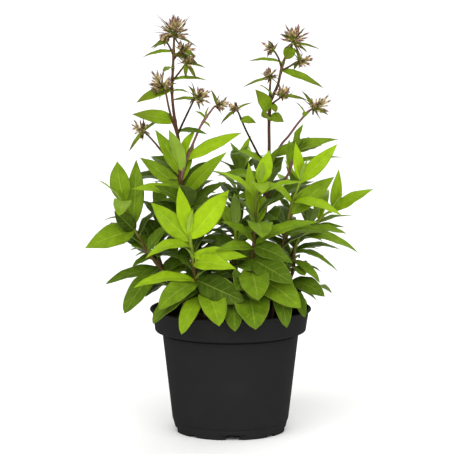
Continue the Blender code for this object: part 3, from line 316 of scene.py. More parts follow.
# How young and bright the leaves are on each stem: heights seen from the front, with a tone from 0,
# mature and dark, to 1, young and yellow-green.
TONES = {
    "a": ((170, 0.2), (232, 0.45), (250, 0.72), (272, 0.8), (300, 0.68), (325, 0.62), (400, 0.56)),
    "e": ((170, 0.2), (240, 0.35), (285, 0.5), (330, 0.6), (400, 0.62)),
    "s": ((138, 0.5), (160, 0.64), (184, 0.76), (198, 0.88)),
    "r": ((143, 0.3), (180, 0.38), (196, 0.55), (244, 0.74), (256, 0.9)),
    "n": ((138, 0.25), (176, 0.35), (214, 0.55)),
    "w": ((188, 0.3), (215, 0.45), (240, 0.62)),
    "v": ((146, 0.25), (190, 0.35), (226, 0.45)),
    "p": ((160, 0.3), (206, 0.4), (240, 0.68), (264, 0.85)),
    "q": ((142, 0.25), (206, 0.35), (232, 0.7)),
    "u": ((150, 0.28), (206, 0.5)),
    "kc": ((138, 0.25), (230, 0.45), (277, 0.8)),
    "kl": ((138, 0.25), (220, 0.45), (262, 0.8)),
    "kr": ((138, 0.25), (210, 0.45), (252, 0.8)),
}
BRACT_TONE = 0.5
# How far a bract's tip has dried, and an awl-shaped bract's
BRACT_DRYNESS = 0.6
AWL_DRYNESS = 1.0
# A bract's short stalk and groove, as a share of a leaf's
BRACT_SIZE = 0.6
# The leaves among the flower stalks dry a little at their tips
UPPER_LEAVES = 322.0
UPPER_DRYNESS = 0.45

# More leaves in the shade of the front ones, in the same form as the others
SHADED_LEAVES = {
    "w": ((210, -122, 231, 12, 18, 4, 0.8),),
    "n": ((150, 12, 150, -60, 22, 8, 0.6), (160, -14, 160, -50, 20, 7, 0.5),
          (186, 22, 178, -40, 20, 6, 0.5), (200, -20, 186, -34, 20, 6, 0.5)),
    "r": ((150, 40, 134, -84, 22, 9, 0.5), (156, 6, 148, -84, 20, 8, 0.6)),
    "u": ((150, 62, 128, -60, 18, 8, 0.5),),
    "a": ((170, -40, 160, -44, 20, 7, 0.6), (190, -20, 190, -40, 20, 6, 0.5),
          (214, -24, 206, -30, 18, 6, 0.5), (232, -20, 234, -24, 18, 5, 0.5),
          (222, -66, 208, -20, 18, 6, 0.5), (214, -86, 240, -18, 22, 6, 0.5),
          (226, -80, 258, -22, 20, 5, 0.5), (250, -12, 284, 14, 20, 5, 0.5)),
    "e": ((186, 40, 172, -30, 20, 6, 0.5), (210, 20, 206, -24, 18, 6, 0.5),
          (226, 48, 222, -20, 18, 5, 0.5), (244, 20, 232, -16, 18, 5, 0.5), (262, 56, 288, 12, 18, 5, 0.4),
          (250, -2, 268, 16, 18, 5, 0.4)),
    "p": ((180, 44, 168, -60, 18, 7, 0.5),),
    "v": ((160, -40, 150, -40, 18, 7, 0.5), (182, -56, 186, -24, 18, 6, 0.5),
          (196, -92, 224, -8, 22, 6, 0.5)),
}
# Their tones, darker than their places on the stems say, are painted shade
PAINTED_SHADE_TONES = (0.02, 0.34)

# Dark leaves inside the bush, grown by the same rule as the hidden pairs: stem, first and last height,
# pairs, turn of the first pair, leaf length at the foot and at the top, and whether any points forward.
INNER_PAIRS = (
    ("a", 158, 232, 5, 30, 54, 46, True), ("e", 158, 256, 6, 20, 54, 46, True),
    ("n", 148, 212, 4, 5, 50, 46, False), ("v", 152, 214, 4, 50, 44, 38, True),
    ("w", 150, 204, 3, 20, 48, 42, False), ("q", 146, 214, 4, 15, 42, 32, True),
    ("u", 142, 192, 3, 70, 36, 30, False), ("p", 148, 236, 5, 25, 52, 42, False),
    ("r", 176, 216, 3, 15, 50, 44, False), ("s", 146, 186, 3, 60, 48, 42, False),
    ("kc", 150, 262, 5, 30, 56, 42, True), ("kl", 150, 240, 4, 85, 54, 42, True),
    ("kr", 150, 236, 4, 85, 54, 42, True),
)
# Their tones, darker than the stems' own, are painted shade of the bush's inside
INNER_SHADE_TONES = (0.0, 0.26)
INNER_SEED = 21

# Buds that fill each head, for each of the rough ones, and more of them near its foot than its tip
FILLING = 1.7
FILLING_SIZES = (0.5, 1.04)
FILLING_LOWNESS = 1.2

# Awl-shaped bracts and bud scales under each head: how many, how long as a share of the head's half
# width, how far they lean from its axis in degrees, their width and their tones.
AWLS = 11
AWL_LENGTHS = (1.05, 2.1)
AWL_LEANS = (38, 130)
AWL_WIDTH = 1.3
AWL_TONES = (0.1, 0.5)
SCALES = 5
SCALE_LENGTHS = (0.6, 1.0)
SCALE_LEANS = (40, 95)
SCALE_WIDTH = 3.0
SCALE_TONES = (0.75, 1.0)
# How much their turns differ from the rule, and how far they arch
AWL_TURN = 0.4
AWL_BOWS = (-1.5, 2.0)

# The fine leaf: how its outline swells from the root, and how it runs out to the tip
LEAF_SWELL = 0.8
LEAF_RUN_OUT = 1.12
# The low leaves are ovals: they change from the lance shape below this height, over this span. So are
# the leaves whose direction points this far to the front.
OVAL_BELOW = 186.0
OVAL_SPAN = 56.0
OVAL_FORWARDS = 0.6
OVAL_FORWARDS_SPAN = 0.2
OVAL_SWELL = 0.95
OVAL_RUN_OUT = 0.62
OVAL_WIDENING = 0.36
EDGE_WAVES = 2.6
VEIN_SWEEP = 0.2
GROOVE_NARROWNESS = 6.0
# How a blade thins to its tip, from half its thickness on each side, and how its points crowd outwards
THINNING = -0.35
EDGE_CROWDING = 1.5
# How far a blade turns about its midrib, sways as a share of its width, and differs in tone
TWIST = 0.22
SWAY = 0.05
TONE_SPREAD = 0.06

# How much a stem swells where a pair of leaves leaves it, and over what length
SWELLING = 0.45
SWELLING_REACH = 2.6

# A stem's colours run from 0 at its foot to 1 at its top: where on them a side stalk starts, how far
# it runs on, and where a head's core is.
STALK_AGE = 0.55
STALK_AGEING = 0.4
CORE_AGE = 0.9

# Side stalks that are darker than the others, or more purple
STALK_TINTS = {"e_dark": -1.0, "a_upper_right": -1.0, "a_purple": 0.8, "e_side": 0.6, "e_far": 0.5}

# How thick the fine core of a head is, as a share of the rough one, and its foot as a share of its own
CORE_SLIMNESS = 0.45
CORE_ROOT = 0.8

# A bud of unit length: heights with radii, which the calyx's own radius then scales
CALYX_TEETH = 5
CALYX_PROFILE = ((-0.2, 0.3), (0.2, 0.3), (0.28, 0.75), (0.42, 1.0), (0.56, 0.9), (0.66, 0.72))
# A tooth's foot has three corners: the turn from the tooth's middle, the radius and the height
TOOTH_FOOT = ((-0.42, 0.8, 0.6), (0.42, 0.8, 0.6), (0.0, 0.6, 0.6))
TOOTH_TIPS = (1.0, 0.9, 1.04, 0.86, 0.96)
TOOTH_SPREAD = 1.3
CLOSED_PROFILE = ((0.5, 0.5), (0.7, 0.5), (0.88, 0.1))
SHOWING_PROFILE = ((0.5, 0.5), (0.8, 0.66), (1.0, 0.5), (1.14, 0.08))
# How much the buds' lengths and widths differ, and how the share that shows petals grows up a head
FINE_LENGTHS = (0.88, 1.14)
FINE_WIDTHS = (0.85, 1.15)
SHOWING_LOW = 0.3
SHOWING_GROWTH = 1.4

# The soil: its level, its relief, its rings, and the radius and height of its sides down to the floor
SOIL_TOP = 113.0
SOIL_RELIEF = 2.2
SOIL_RADIUS = 77.0
SOIL_RINGS = 44
SOIL_SIDES = 150
SOIL_WALLS = ((77.0, 109.6), (69.0, 105.0), (58.7, 13.7), (56.7, 8.3))
# The least and most of a crumb's three widths, as shares of its size
LEAST_CRUMB = (0.6, 0.6, 0.4)
MOST_CRUMB = (1.3, 1.0, 0.9)

# The pot, as its solid is, but with the collar's foot 3.4 mm higher, where the photograph has it
RIM_RADIUS = 85.0
POT_HEIGHT = 131.0
COLLAR_TOP_RADIUS = 82.3
COLLAR_FOOT_RADIUS = 79.7
COLLAR_FOOT = 108.4
BODY_TOP = 104.4
BODY_TOP_RADIUS = 71.8
BODY_FOOT = 14.0
BODY_FOOT_RADIUS = 61.4
FOOT_RADIUS = 57.8
WALL = 1.5
FOOT_RING = 2.4
FLOOR_UNDER = 6.0
FLOOR_TOP = 8.0
# Edges that turn more than this stay sharp
SHARP_FROM = math.radians(38)

# What is cut from the pot, a quarter turn apart: drain notches, whose sides flare outwards, the
# shallow gaps between them and the drain holes. Each cut runs a little past what it cuts.
QUARTERS = 4
NOTCH_TURN = math.radians(2.0)
NOTCH_HEIGHT = 5.6
NOTCH_CORNER = 1.8
RING_CUT = 9.0
FLARE = 34.0
FLARE_HEIGHT = 5.2
FLARE_DEPTH = 6.0
FLARE_OUT = 1.5
GAP_HALF = 5.0
GAP_HEIGHT = 2.5
GAP_CORNER = 1.2
DRAIN_PLACE = 38.0
CUT_START = -1.0
CUT_OVER = 2.0

# The studio's floor, in metres: a disc a little under the pot's foot, so that the two don't flicker
STUDIO_RADIUS = 12.0
STUDIO_LEVEL = -0.0002


def place(across, up, depth):
    """The point seen `across` right of the pot's axis and `up` over its foot, `depth` behind the axis."""
    scale = 1 + depth / EYE_DISTANCE
    level = EYE_LEVEL + (up - EYE_LEVEL) * scale
    return Vector((across * scale, depth, (level - depth * math.sin(EYE_TILT)) / math.cos(EYE_TILT)))


def seen_height(point):
    """How high over the pot's foot a point is seen from the front."""
    level = point.z * math.cos(EYE_TILT) + point.y * math.sin(EYE_TILT)
    return EYE_LEVEL + (level - EYE_LEVEL) / (1 + point.y / EYE_DISTANCE)


def turned(across, other, angle):
    """The direction at an angle from one direction towards another that is square to it."""
    return across * math.cos(angle) + other * math.sin(angle)


def facing(along, show):
    """The way a leaf's face points: up, or as far to the viewer as show says, but square to the leaf."""
    face_up = UP - along * UP.dot(along)
    face_viewer = TO_VIEWER - along * TO_VIEWER.dot(along)
    return (face_up * (1 - show) + face_viewer * show).normalized()


def outward(points, faces):
    """The same piece with its faces turned outwards."""
    volume = 0.0
    for face in faces:
        for i in range(1, len(face) - 1):
            a, b, c = points[face[0]], points[face[i]], points[face[i + 1]]
            volume += a.dot(b.cross(c))
    if volume < 0:
        faces = [tuple(reversed(face)) for face in faces]
    return points, faces


def tube(path, radii, sides):
    """A closed stem with a ring of points at each point of its path."""
    points, faces = [], []
    across = None
    for i, centre in enumerate(path):
        before = path[max(i - 1, 0)]
        after = path[min(i + 1, len(path) - 1)]
        along = (after - before).normalized()
        if across is None:
            across = Vector((1, 0, 0)) if abs(along.x) < 0.9 else Vector((0, 1, 0))
        across = (across - along * across.dot(along)).normalized()
        other = along.cross(across)
        for k in range(sides):
            points.append(centre + turned(across, other, 2 * math.pi * k / sides) * radii[i])
    for i in range(len(path) - 1):
        for k in range(sides):
            low, high = i * sides, (i + 1) * sides
            beside = (k + 1) % sides
            faces.append((low + k, low + beside, high + beside))
            faces.append((low + k, high + beside, high + k))
    last = (len(path) - 1) * sides
    faces.append(tuple(reversed(range(sides))))
    faces.append(tuple(range(last, last + sides)))
    return outward(points, faces)


def blade(base, tip, width, bow, show, spare=0.0):
    """A leaf folded a little along its midrib, arched by bow, and turned to the viewer by show."""
    along = (tip - base).normalized()
    base = base + along * ROOT_START
    chord = tip - base
    normal = facing(along, show)
    side = along.cross(normal)
    full = chord.length > LONG_BLADE and width > BROAD_BLADE
    outline = LONG_OUTLINE if full else SHORT_OUTLINE
    thick = BLADE_THICK + 2 * spare
    rows = [(0.0, min(ROOT_HALF, width / 4))]
    rows += [(share, half * width / 2) for share, half in outline]
    points = []
    for share, half in rows:
        middle = base + chord * share + normal * (bow * 4 * share * (1 - share))
        lift = normal * (half * BLADE_FOLD)
        edge = half + spare
        points += [middle + side * edge + lift, middle + normal * (thick / 2),
                   middle - side * edge + lift, middle - normal * (thick / 2)]
    points.append(tip + along * spare)
    faces = [(0, 3, 1), (1, 3, 2)]
    for i in range(len(rows) - 1):
        a, b = 4 * i, 4 * i + 4
        faces += [(a, a + 1, b + 1), (a, b + 1, b), (a + 2, b + 1, a + 1), (a + 2, b + 2, b + 1),
                  (a, b + 3, a + 3), (a, b, b + 3), (a + 2, a + 3, b + 3), (a + 2, b + 3, b + 2)]
    end, last = len(points) - 1, 4 * (len(rows) - 1)
    faces += [(last + k, last + (k + 1) % 4, end) for k in range(4)]
    return outward(points, faces)


def bud(root, direction, length, half):
    """A slender pointed calyx, fullest near its middle."""
    side = direction.orthogonal().normalized()
    other = direction.cross(side)
    points = []
    for share, thickness in ((0.0, half * BUD_FOOT), (BUD_WIDEST, half)):
        for k in range(BUD_SIDES):
            offset = turned(side, other, 2 * math.pi * k / BUD_SIDES) * thickness
            points.append(root + direction * (length * share) + offset)
    points.append(root + direction * length)
    tip = len(points) - 1
    faces = [tuple(reversed(range(BUD_SIDES)))]
    for k in range(BUD_SIDES):
        beside = (k + 1) % BUD_SIDES
        low, high = BUD_SIDES + k, BUD_SIDES + beside
        faces += [(k, beside, high), (k, high, low), (low, high, tip)]
    return outward(points, faces)


Leaf = namedtuple("Leaf", "base tip width bow show tone")
HeadBud = namedtuple("HeadBud", "root direction length rank")


class Garden:
    """Remembers the rough pieces of every node, and the leaves and buds that the finished ones follow."""

    def __init__(self):
        self.trees = []
        self.leaves = {}
        self.buds = {}
        self.cores = {}

    def crossings(self, node, piece, own=False):
        """How many pieces of the other nodes, or of its own where own is set, a piece crosses."""
        tree, low, high = bounded_tree(piece)
        count = 0
        for other, other_tree, other_low, other_high in self.trees:
            if (other == node) != own:
                continue
            if any(low[i] > other_high[i] or high[i] < other_low[i] for i in range(3)):
                continue
            if tree.overlap(other_tree):
                count += 1
        return count

    def add_best_leaf(self, node, tries, tone):
        """Adds the first leaf that is clear of the other nodes and crosses its own least, if any is."""
        best = None
        for base, tip, width, bow, show in tries:
            if self.crossings(node, blade(base, tip, width, bow, show, CLEARANCE)):
                continue
            outer_part = blade(base.lerp(tip, OWN_START), tip, width, bow, show)
            own = self.crossings(node, outer_part, True)
            if best is None or own < best[0]:
                best = (own, Leaf(base, tip, width, bow, show, tone))
            if own == 0:
                break
        if best:
            self.add(node, blade(*best[1][:5]))
            self.leaves.setdefault(node, []).append(best[1])

    def add(self, node, piece):
        """Remembers a rough piece of a node."""
        self.trees.append((node, *bounded_tree(piece)))


def bounded_tree(piece):
    """A piece's tree for overlap tests, with its lowest and highest corners."""
    points, faces = piece
    low = [min(p[i] for p in points) for i in range(3)]
    high = [max(p[i] for p in points) for i in range(3)]
    return BVHTree.FromPolygons(points, faces), low, high


def stem_paths():
    """The path of each stem and stalk, by name, with its node, thickness and number of sides."""
    paths = {}
    for name, (node, (x, y), points, thick, thin) in STEMS.items():
        path = [Vector((x, y, STEM_FOOT)), Vector((x, y, STRAIGHT_TOP))]
        path += [place(*point) for point in points]
        paths[name] = (node, path, thick, thin, STEM_SIDES)
    for name, (stem, height, points, thick, thin) in STALKS.items():
        node, main = paths[stem][:2]
        path = [on_path(main, height)] + [place(*point) for point in points]
        paths[name] = (node, path, thick, thin, STALK_SIDES)
    return paths


def on_path(path, height):
    """The point of a path that is seen at this height from the front."""
    for low, high in zip(path, path[1:]):
        bottom, top = seen_height(low), seen_height(high)
        if bottom <= height <= top:
            return low.lerp(high, (height - bottom) / (top - bottom))
    return path[-1] if height > seen_height(path[-1]) else path[0]


def radii_along(path, thick, thin, straight):
    """Radii that shrink evenly with length, after the straight foot that stands in the soil."""
    lengths = [0.0]
    for low, high in zip(path, path[1:]):
        lengths.append(lengths[-1] + (high - low).length)
    start = lengths[1] if straight else 0.0
    shares = [max(0.0, (length - start) / (lengths[-1] - start)) for length in lengths]
    return [(thick + (thin - thick) * share) / 2 for share in shares]


def tone_at(stem, height):
    """How young and bright a leaf is, 0 to 1, at a height on a stem."""
    steps = TONES[stem.split("_")[0]]
    if height <= steps[0][0]:
        return steps[0][1]
    for (low, low_tone), (high, high_tone) in zip(steps, steps[1:]):
        if height <= high:
            return low_tone + (high_tone - low_tone) * (height - low) / (high - low)
    return steps[-1][1]


def grow_heads(garden, paths):
    """Each head is a small core round the stalk's end, with buds that stand out of it all round."""
    for name, (stalk, tip, half_width, buds, bracts) in HEADS.items():
        draw = random.Random(name)
        path = paths[stalk][1]
        top = place(*tip)
        along = (top - path[-1]).normalized()
        stalk_along = (path[-1] - path[-2]).normalized()
        bend = along.cross(stalk_along).length
        base = path[-1] + along * (CLEARANCE + bend * CORE_FOOT)
        height = (top - base).length
        core = height * HEAD_CORE
        core_path = [base, base + along * core * CORE_WIDEST, base + along * core]
        core_half = half_width * HEAD_CORE_HALF
        garden.add(name, tube(core_path, (CORE_FOOT, core_half, CORE_TIP), CORE_SIDES))
        garden.cores[name] = ([path[-1], *core_path], core_half)
        across = along.orthogonal().normalized()
        other = along.cross(across)

        def stand(share, turn, size):
            """A bud's root, direction and length at a share of the way up the head."""
            lean = math.radians(LEAN_SPAN * (1 - share) ** LEAN_POWER + LEAN_TIP)
            direction = turned(along, turned(across, other, turn), lean)
            root = base + along * core * (FIRST_BUD + BUD_SPAN * share)
            root += direction * core_half * BUD_SEAT * (1 - share)
            reach = half_width * (1 - share) + (top - root).length * share
            return root, direction, reach * size

        stood = garden.buds.setdefault(name, [])
        for i in range(buds):
            turn = i * GOLDEN + draw.uniform(-BUD_TURN, BUD_TURN)
            root, direction, length = stand(i / (buds - 1), turn, draw.uniform(*BUD_LENGTHS))
            piece = bud(root, direction, length, BUD_HALF)
            if not garden.crossings(name, piece):
                garden.add(name, piece)
                stood.append(HeadBud(root, direction, length, i / (buds - 1)))
        fill = random.Random(name + " filling")
        for i in range(round(buds * FILLING)):
            share = fill.random() ** FILLING_LOWNESS
            turn = fill.uniform(0, 2 * math.pi)
            root, direction, length = stand(share, turn, fill.uniform(*FILLING_SIZES))
            stood.append(HeadBud(root, direction, length, share))
        seat = base + along * core * FIRST_BUD
        for *bract_tip, width in bracts:
            settle(garden, name, seat, bract_tip, width, BRACT_BOW, BRACT_SHOW, BRACT_TONE)
        for count, leans, lengths, width, tones in (
                (AWLS, AWL_LEANS, AWL_LENGTHS, AWL_WIDTH, AWL_TONES),
                (SCALES, SCALE_LEANS, SCALE_LENGTHS, SCALE_WIDTH, SCALE_TONES)):
            for i in range(count):
                lean = math.radians(fill.uniform(*leans))
                turn = i * GOLDEN + fill.uniform(-AWL_TURN, AWL_TURN)
                reach = turned(along, turned(across, other, turn), lean) * half_width
                bract_tip = seat + reach * fill.uniform(*lengths)
                bract = Leaf(seat, bract_tip, width, fill.uniform(*AWL_BOWS), 0.0, fill.uniform(*tones))
                garden.leaves.setdefault(name, []).append(bract)


def settle(garden, node, base, tip, width, bow, show, tone):
    """Places a leaf seen from the front, with its tip nearer or further until the leaf is clear."""
    across, up, depth = tip
    tries = ((base, place(across, up, depth + step), width, bow + bow_step, show)
             for bow_step in BOW_STEPS for step in DEPTH_STEPS)
    garden.add_best_leaf(node, tries, tone)


def settle_by_rule(garden, node, base, turn, rise, length, width, bow, tone):
    """Places a leaf by its compass turn and rise, which change in steps until the leaf is clear."""
    tries = []
    for rise_step in RISE_STEPS:
        for turn_step in TURN_STEPS:
            yaw = math.radians(turn + turn_step)
            level = Vector((math.cos(yaw), math.sin(yaw), 0))
            heading = turned(level, UP, math.radians(rise + rise_step))
            tries.append((base, base + heading * length, width, bow, 0.0))
    garden.add_best_leaf(node, tries, tone)


def grow_seen(garden, paths, table, tone_of):
    """The leaves of a table, each placed as it is seen from the front."""
    for name, leaves in table.items():
        node, path = paths[name][:2]
        for height, across, up, depth, width, bow, show, *own_tone in leaves:
            tone = own_tone[0] if own_tone else tone_of(name, height)
            settle(garden, node, on_path(path, height), (across, up, depth), width, bow, show, tone)


def pairs_up(draw, path, low, high, pairs, first_turn, long, short):
    """Opposite pairs, each a quarter turn from the pair below: height, base, turn, rise, length and bow."""
    for k in range(pairs):
        share = k / max(pairs - 1, 1)
        height = low + (high - low) * share
        for half_turn in (0, 180):
            turn = first_turn + 90 * k + half_turn + draw.uniform(-TURN_SPREAD, TURN_SPREAD)
            length = (long + (short - long) * share) * draw.uniform(*LENGTHS)
            rise = LOW_RISE + (HIGH_RISE - LOW_RISE) * share + draw.uniform(-RISE_SPREAD, RISE_SPREAD)
            yield height, on_path(path, height), turn, rise, length, draw.uniform(*BOWS)


def grow_pairs(garden, paths):
    """The pairs on the sides that the front view hides, and upright tufts on the back shoots."""
    draw = random.Random(RULE_SEED)
    for stem, *rule in PAIRS:
        node, path = paths[stem][:2]
        for height, base, turn, rise, length, bow in pairs_up(draw, path, *rule):
            if math.sin(math.radians(turn)) >= HIDDEN_SIDE or stem.startswith("k"):
                tone = tone_at(stem, height)
                settle_by_rule(garden, node, base, turn, rise, length, length * PAIR_WIDTH, bow, tone)
    for stem, height in TOP_TUFT:
        node, path = paths[stem][:2]
        for k in range(TUFT_LEAVES):
            turn = TUFT_TURN + 90 * k + draw.uniform(-TUFT_SPREAD, TUFT_SPREAD)
            length = TUFT_LENGTH * draw.uniform(*TUFT_LENGTHS)
            base = on_path(path, height)
            tone = tone_at(stem, height)
            settle_by_rule(garden, node, base, turn, TUFT_RISE, length, TUFT_WIDTH, TUFT_BOW, tone)


def grow_inner_pairs(garden, paths):
    """Pairs of leaves that fill the inside of the bush, dark in tone as painted shade."""
    draw = random.Random(INNER_SEED)
    for stem, *rule, forwards in INNER_PAIRS:
        node, path = paths[stem][:2]
        for _, base, turn, rise, length, bow in pairs_up(draw, path, *rule):
            tone = draw.uniform(*INNER_SHADE_TONES)
            if forwards or math.sin(math.radians(turn)) > HIDDEN_SIDE:
                settle_by_rule(garden, node, base, turn, rise, length, length * PAIR_WIDTH, bow, tone)


@functools.cache
def grown_garden():
    """The whole plant, grown once for all the operators, with the path of each stem and stalk."""
    garden = Garden()
    paths = stem_paths()
    for name in ("pot", "soil"):
        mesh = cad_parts[name].data
        points = [vert.co / MM for vert in mesh.vertices]
        garden.add(name, (points, [tuple(face.vertices) for face in mesh.polygons]))
    for name, (node, path, thick, thin, sides) in paths.items():
        garden.add(node, tube(path, radii_along(path, thick, thin, name in STEMS), sides))
    grow_heads(garden, paths)
    grow_seen(garden, paths, LEAVES, tone_at)
    grow_pairs(garden, paths)
    # The shaded leaves get dark tones at random from the painted shade range
    shades = random.Random(INNER_SEED)
    grow_seen(garden, paths, SHADED_LEAVES, lambda name, height: shades.uniform(*PAINTED_SHADE_TONES))
    grow_inner_pairs(garden, paths)
    return garden, paths


# The marks that the finishes read and the finished pieces keep
LEAF_MARKS = ("tone", "face", "dry")
STEM_MARKS = ("age", "leafy", "tint")
BUD_MARKS = ("rise", "tone")

MATH = "ShaderNodeMath"
VECTOR_MATH = "ShaderNodeVectorMath"
ATTRIBUTE = "GeometryNodeInputNamedAttribute"
STORE = "GeometryNodeStoreNamedAttribute"


def add(tree, kind, *feeds, named=None, stops=(), **settings):
    """Adds a node with its settings, and feeds its inputs in order and by name.

    The stops are a colour ramp's places in rising order, with their colours in hex or as linear values.
    """
    made = tree.nodes.new(kind)
    for label, value in settings.items():
        setattr(made, label, value)
    for i, (spot, colour) in enumerate(stops):
        stop = made.color_ramp.elements[i] if i < 2 else made.color_ramp.elements.new(spot)
        stop.position = spot
        stop.color = (*(linear(colour) if isinstance(colour, str) else colour), 1)
    feed(tree, made, {**dict(enumerate(feeds)), **(named or {})})
    return made


def feed(tree, node, feeds):
    """Feeds a node's inputs, each given by its number or name.

    A feed is a value, a socket, a node whose first output is meant, or None to leave an input alone.
    """
    for key, value in feeds.items():
        if isinstance(value, Node):
            value = next(socket for socket in value.outputs if socket.enabled)
        if isinstance(value, NodeSocket):
            tree.links.new(value, node.inputs[key])
        elif value is not None:
            node.inputs[key].default_value = value


def new_tree(name, inputs):
    """A tree for a modifier, with a geometry in and out and the named inputs."""
    tree = bpy.data.node_groups.new(name, "GeometryNodeTree")
    tree.interface.new_socket("Geometry", in_out="INPUT", socket_type="NodeSocketGeometry")
    for label, kind in inputs:
        tree.interface.new_socket(label, in_out="INPUT", socket_type="NodeSocket" + kind)
    tree.interface.new_socket("Geometry", in_out="OUTPUT", socket_type="NodeSocketGeometry")
    return tree, tree.nodes.new("NodeGroupInput").outputs


def new_object(name, data):
    """A new object in the scene."""
    made = bpy.data.objects.new(name, data)
    bpy.context.scene.collection.objects.link(made)
    return made


def make_plain(made, modifier, **options):
    """Puts what a modifier makes of an object's mesh in the place of both."""
    view = bpy.context.evaluated_depsgraph_get()
    finished = bpy.data.meshes.new_from_object(made.evaluated_get(view), depsgraph=view, **options)
    made.modifiers.remove(modifier)
    made.data = finished


def form(name, mesh, tree, **values):
    """The object whose mesh is what a tree of nodes makes of a mesh, as a plain mesh."""
    made = new_object(name, mesh)
    modifier = made.modifiers.new("Form", "NODES")
    modifier.node_group = tree
    for item in tree.interface.items_tree:
        if item.item_type == "SOCKET" and item.in_out == "INPUT" and item.name in values:
            modifier[item.identifier] = values[item.name]
    make_plain(made, modifier, preserve_all_data_layers=True)
    bpy.data.meshes.remove(mesh)
    made.data.name = name
    return made


def marked_mesh(name, points, edges=(), faces=(), **marks):
    """A mesh of points with an attribute for each mark: numbers, or vectors."""
    mesh = bpy.data.meshes.new(name)
    mesh.from_pydata(points, edges, faces)
    for label, values in marks.items():
        vectors = isinstance(values[0], Vector)
        layer = mesh.attributes.new(label, "FLOAT_VECTOR" if vectors else "FLOAT", "POINT")
        flat = [number for value in values for number in value] if vectors else values
        layer.data.foreach_set("vector" if vectors else "value", flat)
    return mesh


def leaf_mesh(name, leaves):
    """A point for each leaf, marked with its frame and with what sets it apart from the others."""
    draw = random.Random(name)
    rows = []
    for leaf in leaves:
        along = (leaf.tip - leaf.base).normalized()
        normal = facing(along, leaf.show)
        low = (OVAL_BELOW - leaf.tip.z) / OVAL_SPAN
        foreshortened = (along.dot(TO_VIEWER) - OVAL_FORWARDS) / OVAL_FORWARDS_SPAN
        oval = min(1.0, max(0.0, low, foreshortened))
        swell = LEAF_SWELL + (OVAL_SWELL - LEAF_SWELL) * oval
        run_out = LEAF_RUN_OUT + (OVAL_RUN_OUT - LEAF_RUN_OUT) * oval
        fullest = swell / (swell + run_out)
        half = leaf.width / 2 * (1 + OVAL_WIDENING * oval)
        if leaf.width == AWL_WIDTH:
            dryness = AWL_DRYNESS
        elif name in HEADS:
            dryness = BRACT_DRYNESS
        else:
            dryness = UPPER_DRYNESS if leaf.base.z > UPPER_LEAVES else 0.0
        rows.append(((leaf.tip - leaf.base) * MM, normal, normal.cross(along), half * MM, leaf.bow * MM,
                     draw.uniform(-TWIST, TWIST), draw.uniform(-1.0, 1.0) * SWAY * leaf.width * MM,
                     draw.uniform(0, 2 * math.pi),
                     min(1.0, max(0.0, leaf.tone + draw.uniform(-TONE_SPREAD, TONE_SPREAD))),
                     swell, run_out, 1 / (fullest ** swell * (1 - fullest) ** run_out), dryness))
    labels = ("chord", "normal", "side", "half", "bow", "twist", "sway", "phase", "tone", "swell",
              "run_out", "fullness", "dry")
    return marked_mesh(name, [leaf.base * MM for leaf in leaves], **dict(zip(labels, zip(*rows))))


